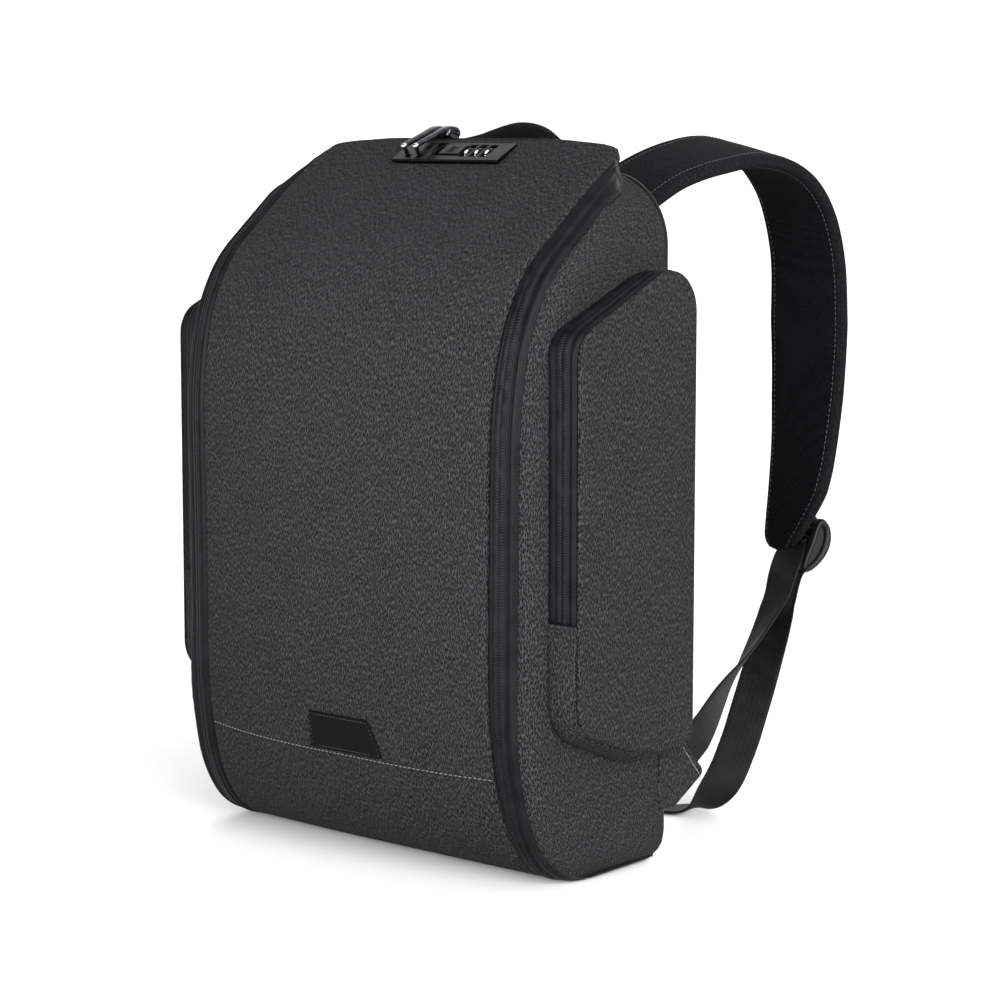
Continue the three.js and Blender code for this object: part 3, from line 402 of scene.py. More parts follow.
def through(at: Array, stops: Array, values: Array) -> Array:
    """Reads a smooth curve through the stops that never overshoots them.

    Between two stops it is a cubic whose slopes there are the harmonic means of the slopes on each side.

    Args:
        at: Where to read it.
        stops: Rising places of the stops.
        values: The curve's values there.

    Returns:
        The curve's value at each place.
    """
    stops, values = np.asarray(stops, float), np.asarray(values, float)
    at = np.clip(at, stops[0], stops[-1])
    width = np.diff(stops)
    slope = np.diff(values) / width
    before, after = slope[:-1], slope[1:]
    level = before * after <= 0
    inner = np.where(level, 0.0, 2 * before * after / np.where(level, 1.0, before + after))
    lean = np.concatenate([slope[:1], inner, slope[-1:]])
    i = np.clip(np.searchsorted(stops, at, side="right") - 1, 0, len(width) - 1)
    t = (at - stops[i]) / width[i]
    start = values[i] * (1 + 2 * t) * (1 - t) ** 2 + lean[i] * width[i] * t * (1 - t) ** 2
    return start + values[i + 1] * t ** 2 * (3 - 2 * t) + lean[i + 1] * width[i] * t ** 2 * (t - 1)


@dataclass(frozen=True)
class Swell:
    """A gentle unevenness: its height, the typical width of a swell, and a seed for directions and phases."""

    height: float
    size: float
    seed: int
    waves: int = 6
    spread: Pair = (0.7, 1.5)

    def at(self, a: Array, b: Array) -> Array:
        """Adds up sine waves in seeded directions.

        Args:
            a: First coordinate in millimetres.
            b: Second coordinate in millimetres.

        Returns:
            The height at each place.
        """
        draw = np.random.default_rng(self.seed)
        heading, phase = (draw.uniform(0, 2 * np.pi, self.waves) for _ in range(2))
        pitch = draw.uniform(*self.spread, self.waves)
        along = a[..., None] * np.cos(heading) + b[..., None] * np.sin(heading)
        turn = along * 2 * np.pi / (self.size * pitch)
        return self.height * np.sin(turn + phase).sum(-1) / (self.waves / 2)


@dataclass(frozen=True)
class Groove:
    """Cloth drawn in at a seam: how deep, and how far that reaches. A negative depth stands up as a bead."""

    depth: float
    reach: float

    def at(self, distance: Array) -> Array:
        """The height at a distance from the seam: a smooth hill turned upside down."""
        return -self.depth * hump(distance, self.reach)


@dataclass(frozen=True)
class Pucker:
    """Small waves beside a seam: their height, their pitch along it, and how far from it they reach."""

    height: float
    pitch: float
    reach: float

    def at(self, along: Array, away: Array, shift: Array | float = 0.0) -> Array:
        """The height: a sine along the seam that fades exponentially away from it."""
        return self.height * np.sin(2 * np.pi * along / self.pitch + shift) * np.exp(-away / self.reach)


@dataclass(frozen=True)
class Ribs:
    """A zip's coil across its width: rounded ribs on each side of a groove, half a pitch apart."""

    base: float
    rise: float
    groove: Groove
    floor: float = 0.1

    def at(self, turns: Array, place: Array, rim: Array) -> Array:
        """The height by pitches along, place across and share in from the rim: squared sines and a groove."""
        rib = np.sin(np.pi * (turns + np.where(place < 0, 0.0, 0.5))) ** 2
        return self.floor + (self.base + self.rise * rib) * rim + self.groove.at(place)


def grid_normals(grid: Array) -> Array:
    """Directions square to a grid of points: the cross product of its two gradients."""
    return unit(np.cross(np.gradient(grid, axis=0), np.gradient(grid, axis=1)))


@dataclass
class Surface:
    """Points in millimetres, faces between them, and a place on the cloth for each corner of each face."""

    points: Array
    faces: list[Array]
    cloth: list[Array]

    def __add__(self, other: "Surface") -> "Surface":
        """Puts two surfaces into one, each with its own points."""
        moved = [faces + len(self.points) for faces in other.faces]
        return Surface(np.vstack([self.points, other.points]), self.faces + moved, self.cloth + other.cloth)

    def volume(self) -> float:
        """Six times the enclosed volume: each face's fan of triangles against the origin, added up."""
        total = 0.0
        for faces in self.faces:
            corners = self.points[faces]
            for k in range(1, faces.shape[1] - 1):
                spun = np.cross(corners[:, k], corners[:, k + 1])
                total += float((corners[:, 0] * spun).sum())
        return total

    def outward(self) -> "Surface":
        """The same closed surface with its faces pointing out."""
        if self.volume() >= 0:
            return self
        return Surface(self.points, [f[:, ::-1] for f in self.faces], [c[:, ::-1] for c in self.cloth])

    def on(self, side: Side) -> "Surface":
        """The surface as it is on the right, or mirrored onto the left."""
        return replace(self, points=self.points * (side.value, 1, 1)).outward()

    def piece(self, name: str, finish: Finish, sharp: float = 180.0) -> Piece:
        """Makes the mesh object in metres.

        Args:
            name: The piece's name.
            finish: What it is dressed in.
            sharp: Edges that turn by more degrees than this stay crisp.

        Returns:
            The object, at the origin.
        """
        mesh = bpy.data.meshes.new(name)
        mesh.from_pydata(self.points * MM, [], [face for faces in self.faces for face in faces.tolist()])
        spots = np.concatenate([cloth.reshape(-1, 2) for cloth in self.cloth]) * MM
        mesh.uv_layers.new(name="Cloth").uv.foreach_set("vector", spots.astype(np.float32).ravel())
        mesh.shade_smooth()
        if sharp < 180:
            mesh.set_sharp_from_angle(angle=math.radians(sharp))
        mesh.materials.append(finish.material())
        made = bpy.data.objects.new(name, mesh)
        bpy.context.scene.collection.objects.link(made)
        return made


def grid_faces(rows: int, columns: int, cloth: Array, wrap: bool) -> tuple[Array, Array]:
    """Quads between neighbouring rows and columns, each with its four places on the cloth.

    Args:
        rows: Number of rows.
        columns: Number of columns.
        cloth: Places on the cloth, with one more column than the points where the grid wraps.
        wrap: Whether the last column joins the first.

    Returns:
        The quads, and their corners on the cloth.
    """
    r, c = np.meshgrid(np.arange(rows - 1), np.arange(columns - (not wrap)), indexing="ij")
    on = (c + 1) % columns
    quads = stacked(r * columns + c, r * columns + on, (r + 1) * columns + on, (r + 1) * columns + c)
    d = np.minimum(c + 1, cloth.shape[1] - 1)
    spots = np.stack([cloth[r, c], cloth[r, d], cloth[r + 1, d], cloth[r + 1, c]], -2)
    return quads.reshape(-1, 4), spots.reshape(-1, 4, 2)


def wall(outer: Array, inner: Array, cloth: Array) -> Surface:
    """A closed cloth wall between an outer and an inner grid of the same shape.

    The two grids are faced opposite ways and joined by a strip of quads round their rims.

    Args:
        outer: Points by rows and columns.
        inner: The same points on the other face.
        cloth: Their places on the flat cloth.

    Returns:
        The wall, facing outwards.
    """
    rows, columns = outer.shape[:2]
    count = rows * columns
    quads, spots = grid_faces(rows, columns, cloth, False)
    number = np.arange(count).reshape(rows, columns)
    rim = np.concatenate([number[0], number[1:, -1], number[-1, -2::-1], number[-2:0:-1, 0]])
    on = np.roll(rim, -1)
    strip = stacked(on, rim, rim + count, on + count)
    flat = cloth.reshape(-1, 2)
    edge = np.stack([flat[on], flat[rim], flat[rim], flat[on]], 1)
    points = np.vstack([outer.reshape(-1, 3), inner.reshape(-1, 3)])
    faces = [quads, quads[:, ::-1] + count, strip]
    return Surface(points, faces, [spots, spots[:, ::-1], edge]).outward()


def loft(rings: Array, cloth: Array) -> Surface:
    """A closed skin through equal rings of points, with a fan of triangles over each end.

    Args:
        rings: Points by ring and place round it.
        cloth: Their places on the cloth, with one more column where the cloth runs on past the first point.

    Returns:
        The skin, facing outwards.
    """
    rows, columns = rings.shape[:2]
    quads, spots = grid_faces(rows, columns, cloth, True)
    points = np.vstack([rings.reshape(-1, 3), rings[0].mean(0), rings[-1].mean(0)])
    around = np.arange(columns)
    on = (around + 1) % columns
    last = (rows - 1) * columns
    first_fan = stacked(np.full(columns, rows * columns), on, around)
    last_fan = stacked(np.full(columns, rows * columns + 1), around + last, on + last)
    ends = [np.stack([np.broadcast_to(row.mean(0), (columns, 2)), row[a], row[b]], 1)
            for row, a, b in ((cloth[0], on, around), (cloth[-1], around, on))]
    return Surface(points, [quads, first_fan, last_fan], [spots, *ends]).outward()


def rounded(corners: Triples, arc: int = 8, run: int = 10) -> tuple[Array, Array]:
    """A closed outline with rounded corners.

    Each corner is an arc that touches both its sides, and the straights between are cut evenly, so two
    outlines with the same number of corners match point by point.

    Args:
        corners: Each corner's two coordinates and radius, in order round the outline.
        arc: Steps in each arc.
        run: Steps in each straight stretch.

    Returns:
        The points, and the outward direction at each.
    """
    spots = np.array([c[:2] for c in corners], float)
    radius = np.array([c[2] for c in corners], float)[:, None]
    back, on = unit(np.roll(spots, 1, 0) - spots), unit(np.roll(spots, -1, 0) - spots)
    half = np.arccos(np.clip((back * on).sum(1, keepdims=True), -1, 1)) / 2
    centre = spots + unit(back + on) * radius / np.sin(half)
    start, end = spots + back * radius / np.tan(half) - centre, spots + on * radius / np.tan(half) - centre
    turn = np.arctan2(start[:, 0] * end[:, 1] - start[:, 1] * end[:, 0], (start * end).sum(1))
    angle = np.arctan2(start[:, 1], start[:, 0])[:, None] + turn[:, None] * np.linspace(0, 1, arc + 1)
    out = stacked(np.cos(angle), np.sin(angle))
    arcs = centre[:, None] + radius[:, None] * out
    share = np.linspace(0, 1, run + 1)[1:-1, None]
    following = np.roll(arcs, -1, 0)[:, :1]
    straights = arcs[:, -1:] * (1 - share) + following * share
    sides = np.broadcast_to(out[:, -1:], straights.shape)
    return np.concatenate([arcs, straights], 1).reshape(-1, 2), np.concatenate([out, sides], 1).reshape(-1, 2)


def oblong(width: float, height: float, low: float, high: float) -> Triples:
    """Corners of an oblong about its middle, with radii for its two low and its two high ones."""
    x, y = width / 2, height / 2
    return (-x, -y, low), (x, -y, low), (x, y, high), (-x, y, high)


def cushion(outline: Array, out: Array, low: float, high: float, fillet: float, crown: float = 0.0,
            rings: int = 10) -> Array:
    """A flat pad over an outline, in its own two coordinates and a height.

    Its side stands up and turns in over a quarter circle, and the top swells towards the middle by the
    crown times one minus the square of the distance out.

    Args:
        outline: The rim's points.
        out: The outward direction at each.
        low: Height of the bottom.
        high: Height where the top meets its fillet.
        fillet: Radius of the turn.
        crown: How far the middle swells.
        rings: Rings between the fillet and the middle.

    Returns:
        Rings of points from the bottom to the middle of the top.
    """
    turn = np.linspace(0, np.pi / 2, 6)
    inset = np.concatenate([[0.3 * fillet, 0], fillet * (1 - np.cos(turn))])
    height = np.concatenate([[low, low + 0.3 * fillet], high - fillet + fillet * np.sin(turn)])
    side = outline[None] - out[None] * inset[:, None, None]
    middle = outline.mean(0)
    share = np.linspace(1, 0.02, rings + 1)[1:]
    top = middle + (side[-1] - middle) * share[:, None, None]
    flat = np.concatenate([side, top])
    heights = np.concatenate([height, high + crown * (1 - share ** 2)])
    return np.concatenate([flat, np.broadcast_to(heights[:, None, None], (*flat.shape[:2], 1))], -1)


def spline(knots: Array, at: Array) -> Array:
    """Points on a centripetal curve through the knots.

    Between two knots it is a cubic whose end directions come from the neighbouring knots, weighted by the
    square roots of the distances.

    Args:
        knots: The points that it passes.
        at: Places along it, counted in knots.

    Returns:
        The points.
    """
    ends = np.vstack([2 * knots[0] - knots[1], knots, 2 * knots[-1] - knots[-2]])
    i = np.clip(at.astype(int), 0, len(knots) - 2)
    t = (at - i)[:, None]
    a, b, c, d = (ends[i + k] for k in range(4))
    ab, bc, cd = (np.maximum(np.linalg.norm(q - p, axis=1, keepdims=True), 1e-6) ** 0.5
                  for p, q in ((a, b), (b, c), (c, d)))
    leave = ((b - a) / ab - (c - a) / (ab + bc) + (c - b) / bc) * bc
    arrive = ((c - b) / bc - (d - b) / (bc + cd) + (d - c) / cd) * bc
    start = b * (1 + 2 * t) * (1 - t) ** 2 + leave * t * (1 - t) ** 2
    return start + c * t ** 2 * (3 - 2 * t) + arrive * t ** 2 * (t - 1)


@dataclass
class Route:
    """A path with two directions at each point: across a band's width and up through its thickness."""

    centre: Array
    across: Array
    up: Array
    wide: Array

    @classmethod
    def of(cls, knots: Array, across: Array, wide: Array, steps: int, first: Array | None = None) -> "Route":
        """Follows a smooth curve through the knots, turning the band's width evenly between them.

        Args:
            knots: The points that the band passes.
            across: The direction of its width at each knot.
            wide: Its width at each knot.
            steps: Number of steps along it.
            first: The direction in which it starts, where that is held.

        Returns:
            The route.
        """
        at = np.linspace(0, len(knots) - 1, steps + 1)
        centre = spline(knots, at)
        along = unit(np.gradient(centre, axis=0))
        if first is not None:
            along[0] = first
        stops = np.arange(len(knots))
        spread = between(at, stops, across)
        spread = unit(spread - along * (spread * along).sum(-1, keepdims=True))
        return cls(centre, spread, np.cross(along, spread), np.interp(at, stops, wide))

    @property
    def run(self) -> Array:
        """The distance along the path to each of its points."""
        return run_along(self.centre)

    def line(self, across: Array | float, up: Array | float) -> Array:
        """A line beside the path, at offsets across and up."""
        return self.centre + self.across * np.reshape(across, (-1, 1)) + self.up * np.reshape(up, (-1, 1))

    def band(self, thick: Array | float, swell: Pair = (0.0, 0.0), flats: int = 12,
             arc: int = 6) -> Surface:
        """A band along the path: an oblong section with half-round edges, its two faces swollen.

        A face stands off by half the thickness plus its swell times one minus the square of the place across.

        Args:
            thick: The band's thickness at its edges, one number or one for each point of the path.
            swell: How far the face below and the face above swell.
            flats: Steps across each face.
            arc: Steps round each edge.

        Returns:
            The closed band, with the cloth's first coordinate round the section and the second along it.
        """
        radius = np.broadcast_to(np.asarray(thick, float) / 2, self.wide.shape)[:, None]
        share = np.linspace(-1, 1, flats + 1)
        turn = np.linspace(-np.pi / 2, np.pi / 2, arc + 1)[1:-1]
        core = self.wide[:, None] / 2 - radius
        below = stacked(core * share, -radius - swell[0] * (1 - share ** 2))
        above = stacked(core * -share, radius + swell[1] * (1 - share ** 2))
        right = stacked(core + radius * np.cos(turn), radius * np.sin(turn))
        left = stacked(-core - radius * np.cos(turn), -radius * np.sin(turn))
        section = np.concatenate([below, right, above, left], 1)
        rings = (self.centre[:, None] + self.across[:, None] * section[..., :1]
                 + self.up[:, None] * section[..., 1:])
        closed = np.concatenate([section, section[:, :1]], 1)
        reach = np.linalg.norm(np.diff(closed, axis=1), axis=-1).cumsum(1)
        reach = np.concatenate([np.zeros((len(reach), 1)), reach], 1)
        cloth = stacked(reach, self.run[:, None])
        return loft(rings, cloth)

    def cut(self, start: int, stop: int) -> "Route":
        """A stretch of the route between two of its points."""
        keep = slice(start, stop)
        return Route(self.centre[keep], self.across[keep], self.up[keep], self.wide[keep])


@dataclass(frozen=True)
class Stitch:
    """A stitch: the step to the next, its length, its width, and how far it stands up, half of it sunk."""

    pitch: float = 3.4
    long: float = 2.3
    wide: float = 0.75
    lift: float = 0.4
    sides: int = 6
    places: Numbers = (-1.0, -0.75, 0.0, 0.75, 1.0)

    def row(self, line: Array, up: Array) -> Surface:
        """A row of stitches along a line: one small spindle of thread for each, laid at even steps.

        A spindle's section is an ellipse that shrinks towards its ends by the fourth root of one minus the
        square of the place along it.

        Args:
            line: Closely spaced points.
            up: The direction off the cloth at each.

        Returns:
            All the stitches.
        """
        run = run_along(line)
        at = np.arange(self.pitch / 2, run[-1], self.pitch)
        centre, normal, ahead = (between(at + more, run, values)
                                 for values, more in ((line, 0.0), (up, 0.0), (line, 0.5)))
        along = unit(ahead - centre + 1e-9)
        beside = unit(np.cross(normal, along))
        normal = np.cross(along, beside)
        place = np.array(self.places)[:, None]
        slim = np.maximum(1 - place ** 2, 0.02) ** 0.25
        angle = np.linspace(0, 2 * np.pi, self.sides, endpoint=False)
        spindle = stacked(place * self.long / 2, slim * np.cos(angle) * self.wide / 2,
                          slim * np.sin(angle) * self.lift)
        shape = loft(spindle, np.zeros((*spindle.shape[:2], 2)))
        a, b, h = (shape.points[None, :, k:k + 1] for k in range(3))
        points = centre[:, None] + along[:, None] * a + beside[:, None] * b + normal[:, None] * h
        shift = (np.arange(len(at)) * len(shape.points))[:, None, None]
        faces = [(part[None] + shift).reshape(-1, part.shape[1]) for part in shape.faces]
        return Surface(points.reshape(-1, 3), faces, [np.zeros((*part.shape, 2)) for part in faces])


def dress(made: Piece, nodes: tuple[str, ...] = (), body: str = BAG,
          soft: Soft | None = None, flat: Pair | None = None) -> None:
    """Seats a piece on its body, hides the solids that it replaces, and logs it.

    Args:
        made: The piece.
        nodes: The solids that it replaces.
        body: The body that it rides on.
        soft: Whether it is padded or a sheet, if it is soft; for a sheet, its area is worked out against its
            cut size and not kept.
        flat: A sheet's cut width and length in millimetres.
    """
    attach(made, body)
    if nodes:
        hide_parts(*nodes)
    if soft is Soft.PADDED:
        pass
    elif soft is Soft.SHEET:
        width, length = (size * MM for size in flat)
        area = sum(face.area for face in made.data.polygons) / 2
        float(np.clip(area, LEAST_AREA * width * length, width * length))
    LOG.info("%s: %d faces on %s", made.name, len(made.data.polygons), body)


@dataclass(frozen=True)
class Leg:
    """A stretch of the bag's side profile: an arc with a radius and a turn in degrees, or a straight run."""

    radius: float = 0.0
    turn: float = 0.0
    run: float = 0.0

    @property
    def length(self) -> float:
        """The stretch's length."""
        return self.run or self.radius * math.radians(self.turn)


@dataclass(frozen=True)
class PanelStop:
    """The front panel at a distance along the profile: half its width, and how far its middle swells."""

    s: float
    half: float
    crown: float


@dataclass(frozen=True)
class BagForm:
    """The bag's driving shape: its side profile, the front panel on it, and the zip round that panel.

    The stops of narrow and sink lie so many millimetres and so many bends past the start of the top corner.
    """

    start: Pair = (-14.6, 0.0)
    legs: tuple[Leg, ...] = (
        Leg(48, 54), Leg(95, 23), Leg(330, 13), Leg(run=134.4), Leg(265, 12), Leg(123, 20), Leg(86, 18.7),
        Leg(run=96))
    ridge: tuple[Leg, ...] = (Leg(9, 88), Leg(run=20))
    panel: tuple[PanelStop, ...] = (
        PanelStop(0, 124, 0), PanelStop(25, 123.6, 0.8), PanelStop(60, 123, 8), PanelStop(105, 121.5, 11.5),
        PanelStop(180, 120.7, 10.5), PanelStop(300, 122, 9.5), PanelStop(390, 124.3, 6.5),
        PanelStop(425, 125, 4.6), PanelStop(455, 125.4, 4.2), PanelStop(487, 126, 3),
        PanelStop(502, 126.3, 1.2), PanelStop(516, 126.5, 0))
    crown_power: float = 2.4
    corner: float = 16
    corner_dip: Groove = Groove(3, 26)
    corner_zone: float = 60
    ridge_lap: float = 5.5
    zip_width: float = 19
    drops: Pairs = ((0, 2.4), (20, 2.4), (50, 2.2), (110, 2.2), (170, 5.5), (800, 5.5))
    drop_power: float = 1.6
    narrowing: float = 0.5
    narrow: Triples = ((-1000, 0, 0), (-190, 0, 0), (-110, 0, 0.14), (-30, 0, 0.16), (0, 0, 0.5),
                       (0, 0.45, 1), (0, 0.85, 0.3), (0, 1, 0), (90, 0, 0))
    sink: Triples = ((-1000, 0, 0), (-30, 0, 0), (0, 0, 6.3), (0, 0.5, 10.5), (0, 1, 10.5), (50, 1, 2),
                     (200, 0, 2))
    sink_power: float = 1.3
    corner_fold: tuple[tuple[float, float, float, float], ...] = (
        (-32, 0, 0, 0), (-14, -2.4, 0, -1.5), (3, -11, 2, -2), (16, -12.6, 2, -3), (28, -10, 3, -5),
        (44, -1.4, 0, -0.7), (64, 0, 0, 0))
    fold_power: float = 1.2
    top_places: int = 20
    shoulder: float = 422.3
    back_half: float = 150
    back_pad: float = 8
    foot_radius: float = 20
    top_radius: float = 47
    seam: Groove = Groove(1.7, 1.5)

    @property
    def length(self) -> float:
        """The front panel's length along the profile."""
        return sum(leg.length for leg in self.legs)

    @property
    def straight(self) -> float:
        """The distance along the profile at which the top corner starts."""
        return self.length - self.corner

    @property
    def bend(self) -> float:
        """The length of the top corner, measured at the middle of the zip."""
        return (self.corner + self.zip_width / 2) * math.pi / 2

    @property
    def foot_half(self) -> float:
        """Half the front panel's width at its foot."""
        return float(self.half(np.array(0.0)))

    @property
    def top_half(self) -> float:
        """Half the front panel's width at its top."""
        return float(self.half(np.array(self.length)))

    @property
    def back_y(self) -> float:
        """The plane where the sides end at the back panel."""
        return float(self.at(np.array([self.length + self.zip_width]))[0][0]) + GAP

    @property
    def back_top(self) -> float:
        """The height of the seam between the zip and the back panel."""
        return float(self.at(np.array([self.length + self.zip_width]))[1][0])

    @property
    def back_face(self) -> float:
        """The plane of the back panel's flat face."""
        return self.back_y + self.back_pad

    def at(self, s: Array) -> tuple[Array, Array, Array]:
        """Walks the profile: arcs turn the heading by distance over radius, runs keep it.

        Args:
            s: Distances along the profile.

        Returns:
            Y, Z and heading at each.
        """
        y, z = np.full(np.shape(s), self.start[0]), np.full(np.shape(s), self.start[1])
        heading, left = np.zeros(np.shape(s)), np.array(s, float)
        for leg in self.legs + self.ridge:
            step = np.clip(left, 0, leg.length)
            if leg.radius:
                turned = heading + step / leg.radius
                y = y - leg.radius * (np.sin(turned) - np.sin(heading))
                z = z + leg.radius * (np.cos(heading) - np.cos(turned))
                heading = turned
            else:
                y, z = y - np.cos(heading) * step, z + np.sin(heading) * step
            left = left - step
        return y, z, heading

    def onto(self, x: Array, s: Array, lift: Array) -> Array:
        """Lays points of the flat pattern on the profile and lifts them along its outward direction.

        Args:
            x: Distance across.
            s: Distance along the profile.
            lift: Height off it.

        Returns:
            The points.
        """
        y, z, heading = self.at(s)
        lift = lift + self.corner_dip.at(np.hypot(np.abs(x) - self.top_half, s - self.length))
        return stacked(x, y - lift * np.sin(heading), z - lift * np.cos(heading))

    def half(self, s: Array) -> Array:
        """Half the front panel's width."""
        return through(s, [p.s for p in self.panel], [p.half for p in self.panel])

    def crown(self, x: Array, s: Array) -> Array:
        """The front panel's swell: the crown times one minus a power of the place across."""
        across = np.clip(np.abs(x) / self.half(s), 0, 1)
        crown = through(s, [p.s for p in self.panel], [p.crown for p in self.panel])
        return crown * (1 - across ** self.crown_power)

    def edge(self, t: Array) -> tuple[Array, Array, Array, Array]:
        """Walks the seam between panel and zip: up the right side, round the corner, across and down.

        Args:
            t: Distance along the seam, measured at the middle of the zip.

        Returns:
            X and s of the seam, and the direction away from the panel in x and s.
        """
        side, bend, flat = self.straight, self.bend, self.top_half - self.corner
        middle = side + bend + flat
        mirror = np.where(t > middle, -1.0, 1.0)
        d = np.where(t > middle, 2 * middle - t, t)
        angle = np.clip((d - side) / bend, 0, 1) * math.pi / 2
        s = np.where(d < side, d, side + self.corner * np.sin(angle))
        x = np.where(d < side, self.half(np.minimum(d, side)), flat + self.corner * np.cos(angle))
        x = np.where(d > side + bend, middle - d, x)
        return x * mirror, s, np.cos(angle) * mirror, np.sin(angle)

    @property
    def edge_length(self) -> float:
        """The length of the whole seam round the front panel."""
        return 2 * (self.straight + self.bend + (self.top_half - self.corner))

    def past_corner(self, d: Array, stops: Triples) -> Array:
        """Reads the curve through stops that lie past the start of the top corner."""
        far, bends, values = np.array(stops, float).T
        return through(d, self.straight + far + bends * self.bend, values)

    def tape(self, t: Array, w: Array, lift: Array) -> Array:
        """Points of the zip tape.

        They lie out from the seam by w, fall away by a power of w, and are lifted. At the top corners
        the tape is drawn narrower and folded down, and its outer edge sinks to the back's shoulder.

        Args:
            t: Distance along the seam.
            w: Distance out from it.
            lift: Height off the tape's own face.

        Returns:
            The points.
        """
        x, s, nx, ns = self.edge(t)
        share = np.maximum(w, 0) / self.zip_width
        d = np.minimum(t, self.edge_length - t)
        reach = w * (1 - self.narrowing * self.past_corner(d, self.narrow))
        drop = through(d, *np.array(self.drops).T) * share ** self.drop_power * nx ** 2
        points = self.onto(x + nx * reach, s + ns * reach, lift - drop)
        points[..., 2] -= self.past_corner(d, self.sink) * share ** self.sink_power
        at, *moves = np.array(self.corner_fold).T
        across, back, up = (through(d - self.straight, at, move) * share ** self.fold_power for move in moves)
        return points + stacked(across * np.sign(x), back, up)

    def places(self, step: float, fine: float) -> Array:
        """Distances along the seam up to its middle, a step apart and closer round the top corner."""
        corner = np.arange(self.straight - self.corner_zone, self.straight + self.corner_zone, fine)
        top = np.linspace(corner[-1] + fine, self.edge_length / 2, self.top_places)
        return np.concatenate([np.arange(GAP / 2, corner[0], step), corner, top])


FORM = BagForm()


@dataclass(frozen=True)
class LockFrame:
    """The lock's own frame on the sloping top: x across, y up the slope and z out."""

    setback: float = 14
    flatter: float = 11
    pivot: Pair = (1.0, -2.6)

    @property
    def slope(self) -> Triple:
        """Y, Z and the lean in radians of the slope under the lock's middle."""
        y, z, heading = FORM.at(np.array(FORM.length - self.setback))
        return float(y), float(z), math.pi - float(heading)

    @staticmethod
    def turn(y: Array, z: Array, lean: float) -> tuple[Array, Array]:
        """Turns two coordinates by an angle."""
        return y * math.cos(lean) - z * math.sin(lean), y * math.sin(lean) + z * math.cos(lean)

    def place(self, local: Array, rise: float = 0.0) -> Array:
        """Turns points of the lock's frame into the bag's.

        The lock lies flatter than the slope: it is turned back about the dials' axis, so they still run true.

        Args:
            local: Points across, up the slope and out.
            rise: How much further out they are.

        Returns:
            The points.
        """
        y, z, lean = self.slope
        axis = self.turn(self.pivot[0], self.pivot[1], lean)
        turned = self.turn(local[..., 1] - self.pivot[0], local[..., 2] + rise - self.pivot[1],
                           lean - math.radians(self.flatter))
        return stacked(local[..., 0], turned[0] + axis[0] + y, turned[1] + axis[1] + z)

    def local(self, points: Array) -> Array:
        """Turns points of the bag's frame, on the solid's slope, into the lock's."""
        y, z, lean = self.slope
        turned = self.turn(points[..., 1] - y, points[..., 2] - z, -lean)
        return stacked(points[..., 0], *turned)


LOCK = LockFrame()


